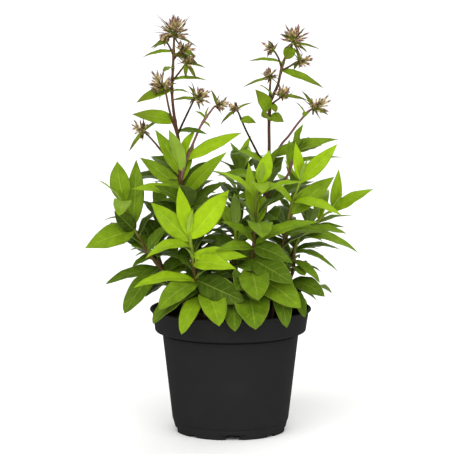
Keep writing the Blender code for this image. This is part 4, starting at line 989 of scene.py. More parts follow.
@functools.cache
def leaf_tree():
    """Opens each point into a thin closed blade: a tube of points that is pressed flat and arched.

    The tube's two flat sides are the leaf's faces. Each blade has a sunken midrib, swells between its
    side veins, waves along its edge, and turns a little about its midrib.
    """
    tree, given = new_tree("Phlox leaves", (("Rows", "Int"), ("Round", "Int"), ("Thickness", "Float"),
                                            ("Petiole", "Float"), ("Fold", "Float"), ("Wave", "Float"),
                                            ("Quilting", "Float"), ("Groove", "Float"), ("Veins", "Float"),
                                            ("Leaf", "Material")))
    pattern = add(tree, "GeometryNodeMeshCylinder", given["Round"], given["Rows"], 1, 1.0, 1.0,
                  fill_type="TRIANGLE_FAN")
    spot = add(tree, "ShaderNodeSeparateXYZ", add(tree, "GeometryNodeInputPosition")).outputs
    # Closer together near the edge, where the two sides of the blade meet
    inwards = add(tree, MATH, add(tree, MATH, spot["Y"], operation="ABSOLUTE"), EDGE_CROWDING,
                  operation="POWER")
    inwards = add(tree, MATH, 1.0, inwards, operation="SUBTRACT")
    which_side = add(tree, MATH, spot["X"], operation="SIGN")
    places = (("along", add(tree, MATH, spot["Z"], 0.5, operation="ADD")),
              ("across", add(tree, MATH, inwards, which_side, operation="MULTIPLY")),
              ("face", add(tree, "ShaderNodeClamp", add(tree, MATH, spot["Y"], 3.0, operation="MULTIPLY"),
                           -1.0, 1.0)))
    for label, value in places:
        pattern = add(tree, STORE, pattern, None, label, value)
    roots = add(tree, STORE, given["Geometry"], None, "base", add(tree, "GeometryNodeInputPosition"),
                data_type="FLOAT_VECTOR")
    blades = add(tree, "GeometryNodeRealizeInstances",
                 add(tree, "GeometryNodeInstanceOnPoints", roots, None, pattern))

    along, across, face, half, bow, twist, sway, phase, swell, run_out, fullness = (
        add(tree, ATTRIBUTE, label)
        for label in ("along", "across", "face", "half", "bow", "twist", "sway", "phase", "swell",
                      "run_out", "fullness"))
    base, chord, normal, side = (add(tree, ATTRIBUTE, label, data_type="FLOAT_VECTOR")
                                 for label in ("base", "chord", "normal", "side"))

    # The outline swells from the root, is fullest before the middle and runs out to a point
    left = add(tree, MATH, 1.0, along, operation="SUBTRACT")
    widening = add(tree, MATH, along, swell, operation="POWER")
    narrowing = add(tree, MATH, left, run_out, operation="POWER")
    outline = add(tree, MATH, add(tree, MATH, widening, narrowing, operation="MULTIPLY"), fullness,
                  operation="MULTIPLY")
    petiole = add(tree, MATH, given["Petiole"], left, 0.0001, operation="MULTIPLY_ADD")
    width = add(tree, MATH, half, outline, petiole, operation="MULTIPLY_ADD")
    lateral = add(tree, MATH, width, across, operation="MULTIPLY")

    # What lifts or sinks the blade: the fold, the edge's waves, the swellings and the midrib's groove
    edge = add(tree, MATH, across, operation="ABSOLUTE")
    turn = add(tree, MATH, along, 2 * math.pi * EDGE_WAVES, phase, operation="MULTIPLY_ADD")
    outer = add(tree, MATH, add(tree, MATH, edge, 2.0, operation="POWER"), outline, operation="MULTIPLY")
    wave_height = add(tree, MATH, half, given["Wave"], operation="MULTIPLY")
    vein_place = add(tree, MATH, edge, -VEIN_SWEEP, along, operation="MULTIPLY_ADD")
    vein_turn = add(tree, MATH, add(tree, MATH, vein_place, given["Veins"], operation="MULTIPLY"),
                    2 * math.pi, operation="MULTIPLY")
    middle = add(tree, MATH, add(tree, MATH, edge, -GROOVE_NARROWNESS, 1.0, operation="MULTIPLY_ADD"), 0.0,
                 operation="MAXIMUM")
    thinning = add(tree, MATH, along, THINNING, 0.5, operation="MULTIPLY_ADD")
    fold, wave, between, groove, skin, hump = (
        add(tree, MATH, add(tree, MATH, one, two, operation="MULTIPLY"), three, operation="MULTIPLY")
        for one, two, three in (
            (width, given["Fold"], edge), (add(tree, MATH, turn, operation="SINE"), outer, wave_height),
            (edge, outline, given["Quilting"]), (middle, left, given["Groove"]),
            (face, thinning, given["Thickness"]), (along, left, 4.0)))
    quilting = add(tree, MATH, add(tree, MATH, vein_turn, operation="SINE"), between, operation="MULTIPLY")
    lift = fold
    for more, operation in ((wave, "ADD"), (quilting, "ADD"), (groove, "SUBTRACT"), (skin, "ADD")):
        lift = add(tree, MATH, lift, more, operation=operation)

    # The midrib's arch, the blade's sideways sway and its turn about the midrib
    angle = add(tree, MATH, twist, along, operation="MULTIPLY")
    sideways = add(tree, MATH, sway, hump, lateral, operation="MULTIPLY_ADD")
    sideways = add(tree, MATH, sideways, add(tree, MATH, lift, angle, operation="MULTIPLY"),
                   operation="SUBTRACT")
    upwards = add(tree, MATH, bow, hump, lift, operation="MULTIPLY_ADD")
    upwards = add(tree, MATH, lateral, angle, upwards, operation="MULTIPLY_ADD")
    place_now = base
    for direction, amount in ((chord, along), (side, sideways), (normal, upwards)):
        step = add(tree, VECTOR_MATH, direction, named={"Scale": amount}, operation="SCALE")
        place_now = add(tree, VECTOR_MATH, place_now, step, operation="ADD")
    shaped = add(tree, "GeometryNodeSetPosition", blades, None, place_now)
    # The same diagonals on both sides, so that the thin blade's sides can't cross
    shaped = add(tree, "GeometryNodeTriangulate", shaped, quad_method="SHORTEST_DIAGONAL")
    shaped = add(tree, "GeometryNodeSetShadeSmooth", shaped)
    page = add(tree, "ShaderNodeCombineXYZ", along,
               add(tree, MATH, across, 0.5, 0.5, operation="MULTIPLY_ADD"), 0.0)
    shaped = add(tree, STORE, shaped, None, "UVMap", page, data_type="FLOAT2", domain="CORNER")
    add(tree, "NodeGroupOutput", add(tree, "GeometryNodeSetMaterial", shaped, None, given["Leaf"]))
    return tree


@functools.cache
def stem_tree():
    """A round tube along each chain of edges, as thick as its points say."""
    tree, given = new_tree("Phlox stems", (("Sides", "Int"), ("Stem", "Material")))
    curve = add(tree, "GeometryNodeMeshToCurve", given["Geometry"])
    ring = add(tree, "GeometryNodeCurvePrimitiveCircle", given["Sides"])
    radius = add(tree, ATTRIBUTE, "radius")
    skin = add(tree, "GeometryNodeCurveToMesh", curve, ring, radius, True)
    skin = add(tree, "GeometryNodeSetShadeSmooth", skin)
    skin = add(tree, "GeometryNodeRealizeInstances", skin)
    add(tree, "NodeGroupOutput", add(tree, "GeometryNodeSetMaterial", skin, None, given["Stem"]))
    return tree


def smooth_path(path, step):
    """Points about a step apart on a smooth curve through a path."""
    ends = [path[0] * 2 - path[1], *path, path[-1] * 2 - path[-2]]
    points = []
    for before, low, high, after in zip(ends, ends[1:], ends[2:], ends[3:]):
        count = max(2, math.ceil((high - low).length / step))
        for k in range(count):
            t = k / count
            points.append(0.5 * (2 * low + (high - before) * t
                                 + (2 * before - 5 * low + 4 * high - after) * t ** 2
                                 + (3 * low - before - 3 * high + after) * t ** 3))
    return points + [path[-1]]


def stem_mesh(name, node, garden, paths, settings):
    """The stem and side stalks of a node as chains of points, swollen where leaves leave them."""
    points, edges = [], []
    marks = {"radius": [], "age": [], "leafy": [], "tint": []}
    joints = [leaf.base for leaf in garden.leaves.get(node, [])]
    for key, (owner, path, thick, thin, _) in paths.items():
        if owner != node:
            continue
        fine = smooth_path(path, settings.step / MM)
        lengths = [0.0]
        for low, high in zip(fine, fine[1:]):
            lengths.append(lengths[-1] + (high - low).length)
        for i, point in enumerate(fine):
            share = lengths[i] / lengths[-1]
            swelling = sum(math.exp(-((point - joint).length / SWELLING_REACH) ** 2) for joint in joints)
            radius = (thick + (thin - thick) * share) / 2 + SWELLING * min(1.0, swelling)
            if i:
                edges.append((len(points) - 1, len(points)))
            points.append(point * MM)
            marks["radius"].append(radius * MM)
            marks["age"].append(share if key in STEMS else STALK_AGE + STALK_AGEING * share)
            marks["leafy"].append(0.0 if node.endswith("tall") else 1.0)
            marks["tint"].append(STALK_TINTS.get(key, 0.0))
    return marked_mesh(name, points, edges, **marks)


def core_mesh(name, core):
    """The short thick end of a stalk that carries a head's buds, as a chain of points."""
    path, half = core
    radii = (CORE_FOOT * CORE_ROOT, CORE_FOOT, max(CORE_FOOT, half * CORE_SLIMNESS), CORE_TIP)
    edges = [(i, i + 1) for i in range(len(path) - 1)]
    return marked_mesh(name, [point * MM for point in path], edges, radius=[one * MM for one in radii],
                       age=[CORE_AGE] * len(path), leafy=[0.0] * len(path), tint=[0.0] * len(path))


def bud_pattern(name, showing):
    """One bud of unit length on its short stalk: a ribbed calyx, its five teeth and the corolla in it."""
    points, faces, rise, petal = [], [], [], []

    def rings(profile, sides, is_petal, turn=0.0):
        """Adds a closed round piece of rings."""
        start = len(points)
        for height, radius in profile:
            for k in range(sides):
                angle = 2 * math.pi * k / sides + turn
                points.append(Vector((radius * math.cos(angle), radius * math.sin(angle), height)))
                rise.append(height)
                petal.append(is_petal)
        for ring in range(len(profile) - 1):
            low = start + ring * sides
            for k in range(sides):
                beside = (k + 1) % sides
                faces.append((low + k, low + beside, low + sides + beside, low + sides + k))
        faces.append(tuple(reversed(range(start, start + sides))))
        faces.append(tuple(range(len(points) - sides, len(points))))

    rings(CALYX_PROFILE, CALYX_TEETH, 0.0)
    for k in range(CALYX_TEETH):
        angle = 2 * math.pi * k / CALYX_TEETH
        start = len(points)
        for turn, radius, height in (*TOOTH_FOOT, (0.0, TOOTH_SPREAD, TOOTH_TIPS[k])):
            corner = angle + turn
            points.append(Vector((radius * math.cos(corner), radius * math.sin(corner), height)))
            rise.append(height)
            petal.append(0.0)
        faces += [(start, start + 1, start + 3), (start + 1, start + 2, start + 3),
                  (start + 2, start, start + 3), (start + 1, start, start + 2)]
    rings(SHOWING_PROFILE if showing else CLOSED_PROFILE, CALYX_TEETH, 1.0, math.pi / CALYX_TEETH)
    return new_object(name, marked_mesh(name, points, (), faces, rise=rise, petal=petal))


def head_mesh(name, buds, settings):
    """A point for each bud of a head."""
    draw = random.Random(name)
    rows = []
    for one in buds:
        chance = settings.showing * (SHOWING_LOW + SHOWING_GROWTH * one.rank)
        rows.append((one.direction, one.length * draw.uniform(*FINE_LENGTHS) * MM,
                     draw.uniform(*FINE_WIDTHS) * settings.bud_radius, draw.uniform(0, 2 * math.pi),
                     1.0 if draw.random() < chance else 0.0, draw.random()))
    labels = ("heading", "length", "half", "spin", "open", "tone")
    return marked_mesh(name, [one.root * MM for one in buds], **dict(zip(labels, zip(*rows))))


@functools.cache
def head_tree():
    """Stands a closed or a showing bud on each point, turned to the point's heading."""
    tree, given = new_tree("Phlox heads", (("Closed Bud", "Object"), ("Showing Bud", "Object"),
                                           ("Calyx", "Material"), ("Corolla", "Material")))
    length, half, spin, opened = (
        add(tree, ATTRIBUTE, label) for label in ("length", "half", "spin", "open"))
    heading = add(tree, ATTRIBUTE, "heading", data_type="FLOAT_VECTOR")
    spun = add(tree, "ShaderNodeCombineXYZ", 0.0, 0.0, spin)
    turned_first = add(tree, "FunctionNodeEulerToRotation", spun)
    turn = add(tree, "FunctionNodeAlignRotationToVector", turned_first, 1.0, heading, axis="Z")
    scale = add(tree, "ShaderNodeCombineXYZ", half, half, length)
    both = add(tree, "GeometryNodeJoinGeometry")
    for label, comparison in (("Closed Bud", "LESS_THAN"), ("Showing Bud", "GREATER_THAN")):
        chosen = add(tree, "FunctionNodeCompare", opened, 0.5, operation=comparison)
        pattern = add(tree, "GeometryNodeObjectInfo", given[label]).outputs["Geometry"]
        stood = add(tree, "GeometryNodeInstanceOnPoints", given["Geometry"], chosen, pattern,
                    named={"Rotation": turn, "Scale": scale})
        feed(tree, both, {0: stood})
    head = add(tree, "GeometryNodeSetShadeSmooth", add(tree, "GeometryNodeRealizeInstances", both))
    petal = add(tree, ATTRIBUTE, "petal")
    is_petal = add(tree, "FunctionNodeCompare", petal, 0.5, operation="GREATER_THAN")
    head = add(tree, "GeometryNodeSetMaterial", head, None, given["Calyx"])
    head = add(tree, "GeometryNodeSetMaterial", head, is_petal, given["Corolla"])
    add(tree, "NodeGroupOutput", head)
    return tree


@functools.cache
def crumb_tree():
    """Strews crumbs of peat over a surface, each turned and sized at random, and keeps the surface."""
    tree, given = new_tree("Peat crumbs", (("Density", "Float"), ("Seed", "Int"), ("Smallest", "Float"),
                                           ("Largest", "Float"), ("Peat", "Material")))
    top = add(tree, ATTRIBUTE, "top")
    on_top = add(tree, "FunctionNodeCompare", top, 0.5, operation="GREATER_THAN")
    spots = add(tree, "GeometryNodeDistributePointsOnFaces", given["Geometry"], on_top,
                named={"Density": given["Density"], "Seed": given["Seed"]})
    lump = add(tree, "GeometryNodeMeshIcoSphere", 1.0, 1)
    turn = add(tree, "FunctionNodeRandomValue", (0.0, 0.0, 0.0), (6.28, 6.28, 6.28),
               data_type="FLOAT_VECTOR", named={"Seed": given["Seed"]})
    size = add(tree, "FunctionNodeRandomValue", named={2: given["Smallest"], 3: given["Largest"]})
    shape = add(tree, "FunctionNodeRandomValue", LEAST_CRUMB, MOST_CRUMB, data_type="FLOAT_VECTOR")
    scale = add(tree, VECTOR_MATH, shape, named={"Scale": size}, operation="SCALE")
    crumbs = add(tree, "GeometryNodeInstanceOnPoints", spots.outputs["Points"], None, lump,
                 named={"Rotation": add(tree, "FunctionNodeEulerToRotation", turn), "Scale": scale})
    both = add(tree, "GeometryNodeJoinGeometry")
    for piece in (given["Geometry"], add(tree, "GeometryNodeRealizeInstances", crumbs)):
        feed(tree, both, {0: piece})
    add(tree, "NodeGroupOutput", add(tree, "GeometryNodeSetMaterial", both, None, given["Peat"]))
    return tree


def soil_relief(x, y):
    """The height of the loose peat over the soil's level: waves of 20 to 50 mm, and lumps of 7 mm."""
    wave = math.sin(x * 0.31 + 1.3) * math.cos(y * 0.27 - 0.4) + 0.6 * math.sin(x * 0.13 - y * 0.19)
    crumb = math.sin(x * 0.9 + 2.1 * math.sin(y * 0.7)) * math.sin(y * 0.83 + 0.5)
    return SOIL_RELIEF * (0.35 * wave + 0.5 * crumb)


def soil_mesh(name):
    """The soil's top in fine rings, and its sides down to the pot's floor."""
    points, faces, top = [Vector((0, 0, SOIL_TOP + soil_relief(0, 0)))], [], [1.0]
    rings = [(SOIL_RADIUS * (k + 1) / SOIL_RINGS, None) for k in range(SOIL_RINGS)]
    rings += list(SOIL_WALLS)
    for radius, height in rings:
        for k in range(SOIL_SIDES):
            angle = 2 * math.pi * k / SOIL_SIDES
            x, y = radius * math.cos(angle), radius * math.sin(angle)
            points.append(Vector((x, y, height or SOIL_TOP + soil_relief(x, y))))
            top.append(0.0 if height else 1.0)
    faces += [(0, 1 + k, 1 + (k + 1) % SOIL_SIDES) for k in range(SOIL_SIDES)]
    for ring in range(len(rings) - 1):
        low = 1 + ring * SOIL_SIDES
        for k in range(SOIL_SIDES):
            beside = (k + 1) % SOIL_SIDES
            faces.append((low + k, low + SOIL_SIDES + k, low + SOIL_SIDES + beside, low + beside))
    last = 1 + (len(rings) - 1) * SOIL_SIDES
    faces.append(tuple(reversed(range(last, last + SOIL_SIDES))))
    return marked_mesh(name, [point * MM for point in points], (), faces, top=top)


def arc(centre, radius, first, last, steps):
    """Points on an arc in the pot's section, as (distance from the axis, height)."""
    turns = [math.radians(first + (last - first) * k / steps) for k in range(steps + 1)]
    return [(centre[0] + radius * math.cos(turn), centre[1] + radius * math.sin(turn)) for turn in turns]


def pot_section(lip):
    """The pot's section, as (distance from the axis, height), from its floor inside to its underside."""
    inner_foot = BODY_FOOT_RADIUS - WALL
    inner_top = BODY_TOP_RADIUS - WALL
    inner_collar = COLLAR_FOOT_RADIUS - WALL
    # Inside: the floor and its rounded edge, the body, the step out into the collar, and up to the rim
    section = [(0, FLOOR_TOP), (inner_foot - 3.0, FLOOR_TOP)]
    section += arc((inner_foot - 3.0, FLOOR_TOP + 3.0), 3.0, -75, -5, 4)
    section += [(inner_foot + 0.05, BODY_FOOT), (inner_top, BODY_TOP), (inner_top + 1.2, BODY_TOP + 1.6),
                (inner_collar - 2.6, BODY_TOP + 3.6), (inner_collar - 0.6, BODY_TOP + 5.0),
                (inner_collar, BODY_TOP + 6.8), (COLLAR_TOP_RADIUS - WALL, POT_HEIGHT - 3.8),
                (COLLAR_TOP_RADIUS - 0.8, POT_HEIGHT - 1.4), (COLLAR_TOP_RADIUS, POT_HEIGHT - 0.5)]
    # The rolled lip, the collar's outside and its rounded foot
    section += arc((RIM_RADIUS - lip, POT_HEIGHT - lip), lip, 100, -60, 8)
    section += [(COLLAR_TOP_RADIUS + 1.0, POT_HEIGHT - 2.9), (COLLAR_TOP_RADIUS + 0.25, POT_HEIGHT - 3.4),
                (COLLAR_TOP_RADIUS, POT_HEIGHT - 4.4), (COLLAR_FOOT_RADIUS, COLLAR_FOOT + 1.0)]
    section += arc((COLLAR_FOOT_RADIUS - 2.2, COLLAR_FOOT + 0.4), 2.2, 0, -80, 6)
    # The step in, the fine seam under it, the body's outside and the step in at its foot
    section += [(BODY_TOP_RADIUS + 1.6, BODY_TOP + 1.5), (BODY_TOP_RADIUS + 0.5, BODY_TOP + 1.3),
                (BODY_TOP_RADIUS - 0.9, BODY_TOP + 0.7), (BODY_TOP_RADIUS - 0.9, BODY_TOP - 0.1),
                (BODY_TOP_RADIUS, BODY_TOP - 0.7), (BODY_FOOT_RADIUS, BODY_FOOT),
                (BODY_FOOT_RADIUS - 0.5, BODY_FOOT - 1.4), (BODY_FOOT_RADIUS - 1.0, BODY_FOOT - 3.2),
                (BODY_FOOT_RADIUS - 1.5, BODY_FOOT - 3.6), (BODY_FOOT_RADIUS - 1.4, BODY_FOOT - 4.2)]
    # The foot ring and the floor's underside
    section += arc((FOOT_RADIUS - 0.6, 0.6), 0.6, 0, -90, 4)
    section += [(FOOT_RADIUS - FOOT_RING, 0), (FOOT_RADIUS - FOOT_RING - 0.2, FLOOR_UNDER),
                (0, FLOOR_UNDER)]
    return section


def turned_object(name, profile, sides):
    """A closed solid turned about the pot's axis from a section that starts and ends on the axis."""
    shape = bmesh.new()
    rings = []
    for radius, height in profile:
        count = 1 if radius == 0 else sides
        rings.append([shape.verts.new((radius * MM * math.cos(2 * math.pi * k / sides),
                                       radius * MM * math.sin(2 * math.pi * k / sides), height * MM))
                      for k in range(count)])
    for low, high in zip(rings, rings[1:]):
        for k in range(sides):
            beside = (k + 1) % sides
            corners = [low[k % len(low)], low[beside % len(low)],
                       high[beside % len(high)], high[k % len(high)]]
            shape.faces.new(list(dict.fromkeys(corners)))
    bmesh.ops.recalc_face_normals(shape, faces=shape.faces)
    return linked(name, shape)


def linked(name, shape):
    """An object of a finished shape, in the scene."""
    mesh = bpy.data.meshes.new(name)
    shape.to_mesh(mesh)
    shape.free()
    return new_object(name, mesh)


def cut_away(target, cutters):
    """Cuts all the cutters out of the target and removes them."""
    helpers = bpy.data.collections.new(target.name + " cutters")
    bpy.context.scene.collection.children.link(helpers)
    for cutter in cutters:
        helpers.objects.link(cutter)
    modifier = target.modifiers.new("Cuts", "BOOLEAN")
    modifier.operation = "DIFFERENCE"
    modifier.operand_type = "COLLECTION"
    modifier.collection = helpers
    make_plain(target, modifier)
    for cutter in cutters:
        bpy.data.objects.remove(cutter)
    bpy.data.collections.remove(helpers)


def slot_cutter(name, half_width, height, corner, depth, centre_radius, turn, flare=0.0):
    """A cutter for a drain notch: an upright slot with rounded top corners, cut through the foot ring.

    With a flare its sides spread outwards, so that they show from the front.
    """
    outline = [(-half_width, CUT_START), (half_width, CUT_START)]
    outline += arc((half_width - corner, height - corner), corner, 0, 90, 5)
    outline += arc((corner - half_width, height - corner), corner, 90, 180, 5)
    shape = bmesh.new()
    faces = []
    for offset, spread in ((-depth / 2, flare), (depth / 2, 0.0)):
        corners = [shape.verts.new(((x + math.copysign(spread, x)) * MM, (offset - centre_radius) * MM,
                                    z * MM)) for x, z in outline]
        faces.append(shape.faces.new(corners))
    bridges = zip(faces[0].verts, faces[0].verts[1:] + [faces[0].verts[0]],
                  faces[1].verts[1:] + [faces[1].verts[0]], faces[1].verts)
    for bridge in [list(corners) for corners in bridges]:
        shape.faces.new(bridge)
    bmesh.ops.recalc_face_normals(shape, faces=shape.faces)
    bmesh.ops.rotate(shape, verts=shape.verts, cent=(0, 0, 0), matrix=Matrix.Rotation(turn, 3, "Z"))
    return linked(name, shape)


def drain_cutter(name, radius, centre_radius, turn, low, high):
    """A cutter for a round drain hole in the floor."""
    shape = bmesh.new()
    centre = Vector((math.sin(turn), -math.cos(turn), 0)) * centre_radius
    middle = Matrix.Translation((centre + UP * (low + high) / 2) * MM)
    bmesh.ops.create_cone(shape, cap_ends=True, segments=24, radius1=radius * MM, radius2=radius * MM,
                          depth=(high - low) * MM, matrix=middle)
    return linked(name, shape)


def new_finish(name, roughness=0.5, specular=0.5, tint=(1.0, 1.0, 1.0, 1.0)):
    """A material for a real finish, with its tree, shader and place on the object."""
    material = bpy.data.materials.new(name)
    material.use_nodes = True
    tree = material.node_tree
    shader = tree.nodes["Principled BSDF"]
    feed(tree, shader, {"Roughness": roughness, "Specular IOR Level": specular, "Specular Tint": tint})
    where = add(tree, "ShaderNodeTexCoord").outputs["Object"]
    return material, tree, shader, where


@functools.cache
def leaf_finish():
    """Living phlox leaf: waxy above and paler below, with a pale midrib and side veins that arch forward.

    The eye sees young leaves yellow-green and old ones deep green, mottled between the veins. Leaves
    that lie in shadow inside the bush get the deep green as painted shade.
    """
    look = bpy.context.scene.phlox_leaves
    # The wax over the green gives a yellow-green gloss
    material, tree, shader, where = new_finish("living phlox leaf", specular=0.2,
                                               tint=(*linear("e4ff8c"), 1))
    page = add(tree, "ShaderNodeSeparateXYZ", add(tree, "ShaderNodeUVMap", uv_map="UVMap")).outputs
    tone, face, dry = (add(tree, "ShaderNodeAttribute", attribute_name=label).outputs["Fac"]
                       for label in LEAF_MARKS)
    edge = add(tree, MATH, add(tree, MATH, page["Y"], 2.0, -1.0, operation="MULTIPLY_ADD"),
               operation="ABSOLUTE")

    # Patches about 9 mm wide and a grain of about 1.2 mm
    patches = add(tree, "ShaderNodeTexNoise", where, named={"Scale": 1 / 0.009, "Detail": 3.0})
    grain = add(tree, "ShaderNodeTexNoise", where, named={"Scale": 1 / 0.0012, "Detail": 2.0})
    uneven = add(tree, MATH, patches, 0.5, operation="SUBTRACT")
    # The tone is the leaf's age, and for leaves in shadow it also holds painted shade
    age = add(tree, MATH, uneven, 0.34, tone, operation="MULTIPLY_ADD")
    age = add(tree, MATH, add(tree, MATH, grain, 0.5, operation="SUBTRACT"), 0.1, age,
              operation="MULTIPLY_ADD")
    green = add(tree, "ShaderNodeValToRGB", age, stops=(
        (0.0, look.oldest), (0.35, look.mature), (0.68, look.fresh), (1.0, look.youngest)))

    # The midrib narrows to the tip, and each side vein sits where the blade's swellings meet
    rib_width = add(tree, MATH, page["X"], -0.06, 0.1, operation="MULTIPLY_ADD")
    rib = add(tree, "ShaderNodeMapRange", edge, 0.0, rib_width, 1.0, 0.0, interpolation_type="SMOOTHSTEP")
    spot = add(tree, MATH, edge, -VEIN_SWEEP, page["X"], operation="MULTIPLY_ADD")
    spot = add(tree, MATH, spot, look.veins, -0.25, operation="MULTIPLY_ADD")
    off = add(tree, MATH, add(tree, MATH, add(tree, MATH, spot, operation="FRACT"), 0.5,
                              operation="SUBTRACT"), operation="ABSOLUTE")
    vein = add(tree, "ShaderNodeMapRange", off, 0.0, 0.09, 1.0, 0.0, interpolation_type="SMOOTHSTEP")
    inner = add(tree, "ShaderNodeMapRange", edge, 0.5, 0.95, 0.2, 0.0)
    vein = add(tree, MATH, vein, inner, operation="MULTIPLY")
    line = add(tree, MATH, add(tree, MATH, rib, 0.45, operation="MULTIPLY"), vein, operation="MAXIMUM")
    pale = add(tree, "ShaderNodeMix", 0.55, named={6: green, 7: (*look.vein, 1)}, data_type="RGBA")
    top = add(tree, "ShaderNodeMix", line, named={6: green, 7: pale}, data_type="RGBA")
    margin = add(tree, "ShaderNodeMapRange", edge, 0.9, 1.0, 0.0, 0.4)
    top = add(tree, "ShaderNodeMix", margin, named={6: top, 7: (*look.vein, 1)}, data_type="RGBA")
    below = add(tree, "ShaderNodeMix", 0.45, named={6: top, 7: (*look.below, 1)}, data_type="RGBA")
    is_below = add(tree, MATH, face, 0.0, operation="LESS_THAN")
    colour = add(tree, "ShaderNodeMix", is_below, named={6: top, 7: below}, data_type="RGBA")
    drying = add(tree, MATH, dry, add(tree, MATH, page["X"], 2.0, 0.5, operation="MULTIPLY_ADD"), -0.5,
                 operation="MULTIPLY_ADD", use_clamp=True)
    colour = add(tree, "ShaderNodeMix", drying, named={6: colour, 7: (*look.dry, 1)}, data_type="RGBA")

    rough = add(tree, MATH, grain, 0.2, 0.36, operation="MULTIPLY_ADD")
    rough = add(tree, MATH, is_below, 0.16, rough, operation="MULTIPLY_ADD")
    net = add(tree, "ShaderNodeTexVoronoi", where, named={"Scale": 1 / 0.0016}, feature="DISTANCE_TO_EDGE")
    height = add(tree, MATH, net, 0.6, operation="MULTIPLY")
    height = add(tree, MATH, vein, -1.0, height, operation="MULTIPLY_ADD")
    bump = add(tree, "ShaderNodeBump", named={"Strength": 0.35, "Distance": 0.0003, "Height": height})
    feed(tree, shader, {"Base Color": colour, "Roughness": rough, "Normal": bump})
    return material


@functools.cache
def stem_finish():
    """Herbaceous stem: corky grey-brown at the foot, purple-brown above, and green on young shoots."""
    material, tree, shader, where = new_finish("phlox stem", 0.5, 0.2)
    age, leafy, tint = (add(tree, "ShaderNodeAttribute", attribute_name=label).outputs["Fac"]
                        for label in STEM_MARKS)
    stretched = add(tree, "ShaderNodeMapping", where, named={"Scale": (1 / 0.0012, 1 / 0.0012, 1 / 0.018)})
    streaks = add(tree, "ShaderNodeTexNoise", stretched, named={"Scale": 1.0, "Detail": 3.0})
    flowering = add(tree, "ShaderNodeValToRGB", age, stops=(
        (0.0, "5e5040"), (0.2, "4a3218"), (0.42, "4a2e18"), (0.8, "4e2e20"), (1.0, "665028")))
    shoot = add(tree, "ShaderNodeValToRGB", age, stops=(
        (0.0, "5e5040"), (0.3, "4a321c"), (0.7, "524018"), (1.0, "7a9022")))
    colour = add(tree, "ShaderNodeMix", leafy, named={6: flowering, 7: shoot}, data_type="RGBA")
    darker = add(tree, "ShaderNodeMapRange", tint, -1.0, 0.0, 0.25, 1.0)
    purple = add(tree, "ShaderNodeMapRange", tint, 0.0, 1.0, 0.0, 0.8)
    colour = add(tree, "ShaderNodeMix", purple, named={6: colour, 7: (*linear("8a5f60"), 1)},
                 data_type="RGBA")
    shade = add(tree, "ShaderNodeMapRange", streaks, 0.3, 0.7, 0.6, 1.4)
    shade = add(tree, MATH, shade, darker, operation="MULTIPLY")
    colour = add(tree, VECTOR_MATH, colour, named={"Scale": shade}, operation="SCALE")
    bump = add(tree, "ShaderNodeBump", named={"Strength": 0.4, "Distance": 0.0003, "Height": streaks})
    feed(tree, shader, {"Base Color": colour, "Normal": bump})
    return material


@functools.cache
def calyx_finish():
    """Dry-skinned calyx: olive at the foot, tan in the middle, with purple-brown teeth."""
    material, tree, shader, where = new_finish("phlox calyx", 0.6, 0.3)
    rise, tone = (add(tree, "ShaderNodeAttribute", attribute_name=label).outputs["Fac"]
                  for label in BUD_MARKS)
    grain = add(tree, "ShaderNodeTexNoise", where, named={"Scale": 1 / 0.0015, "Detail": 2.0})
    spot = add(tree, MATH, add(tree, MATH, grain, 0.5, operation="SUBTRACT"), 0.25, rise,
               operation="MULTIPLY_ADD")
    colour = add(tree, "ShaderNodeValToRGB", spot, stops=(
        (0.15, "6f6f30"), (0.34, "a39a58"), (0.54, "c4ad7e"), (0.68, "b08c68"), (0.8, "75503f"),
        (0.94, "38241c")))
    shade = add(tree, "ShaderNodeMapRange", tone, 0.0, 1.0, 0.55, 1.35)
    colour = add(tree, VECTOR_MATH, colour, named={"Scale": shade}, operation="SCALE")
    feed(tree, shader, {"Base Color": colour})
    return material


@functools.cache
def corolla_finish():
    """Furled petals: a dull purple tube that opens to a pink point."""
    material, tree, shader, where = new_finish("furled phlox petals", 0.5, 0.35)
    rise = add(tree, "ShaderNodeAttribute", attribute_name="rise").outputs["Fac"]
    grain = add(tree, "ShaderNodeTexNoise", where, named={"Scale": 1 / 0.002, "Detail": 2.0})
    spot = add(tree, MATH, add(tree, MATH, grain, 0.5, operation="SUBTRACT"), 0.3, rise,
               operation="MULTIPLY_ADD")
    colour = add(tree, "ShaderNodeValToRGB", spot, stops=(
        (0.45, "5e4434"), (0.78, "7f5648"), (0.95, "9c6c70"), (1.0, "c9a0aa")))
    feed(tree, shader, {"Base Color": colour})
    return material


@functools.cache
def pot_finish():
    """Moulded black polypropylene: dull, with a fine mould grain, rubbed patches and a little dust."""
    look = bpy.context.scene.phlox_pot
    material, tree, shader, where = new_finish("moulded black polypropylene", specular=0.03)
    # The mould's grain is about 0.3 mm, drawn at 0.7 mm to show in the render
    grain = add(tree, "ShaderNodeTexNoise", where, named={"Scale": 1 / 0.0007, "Detail": 1.0})
    rubbed = add(tree, "ShaderNodeTexNoise", where, named={"Scale": 1 / 0.035, "Detail": 5.0})
    dust = add(tree, "ShaderNodeMapRange", rubbed, 0.45, 0.8, 0.0, 0.35, interpolation_type="SMOOTHSTEP")
    colour = add(tree, "ShaderNodeMix", dust, named={6: (*look.black, 1), 7: (*look.dust, 1)},
                 data_type="RGBA")
    rough = add(tree, "ShaderNodeMapRange", rubbed, 0.3, 0.7, 0.74, 0.86)
    bump = add(tree, "ShaderNodeBump", named={"Strength": 0.12, "Distance": 0.0002, "Height": grain})
    feed(tree, shader, {"Base Color": colour, "Roughness": rough, "Normal": bump})
    return material


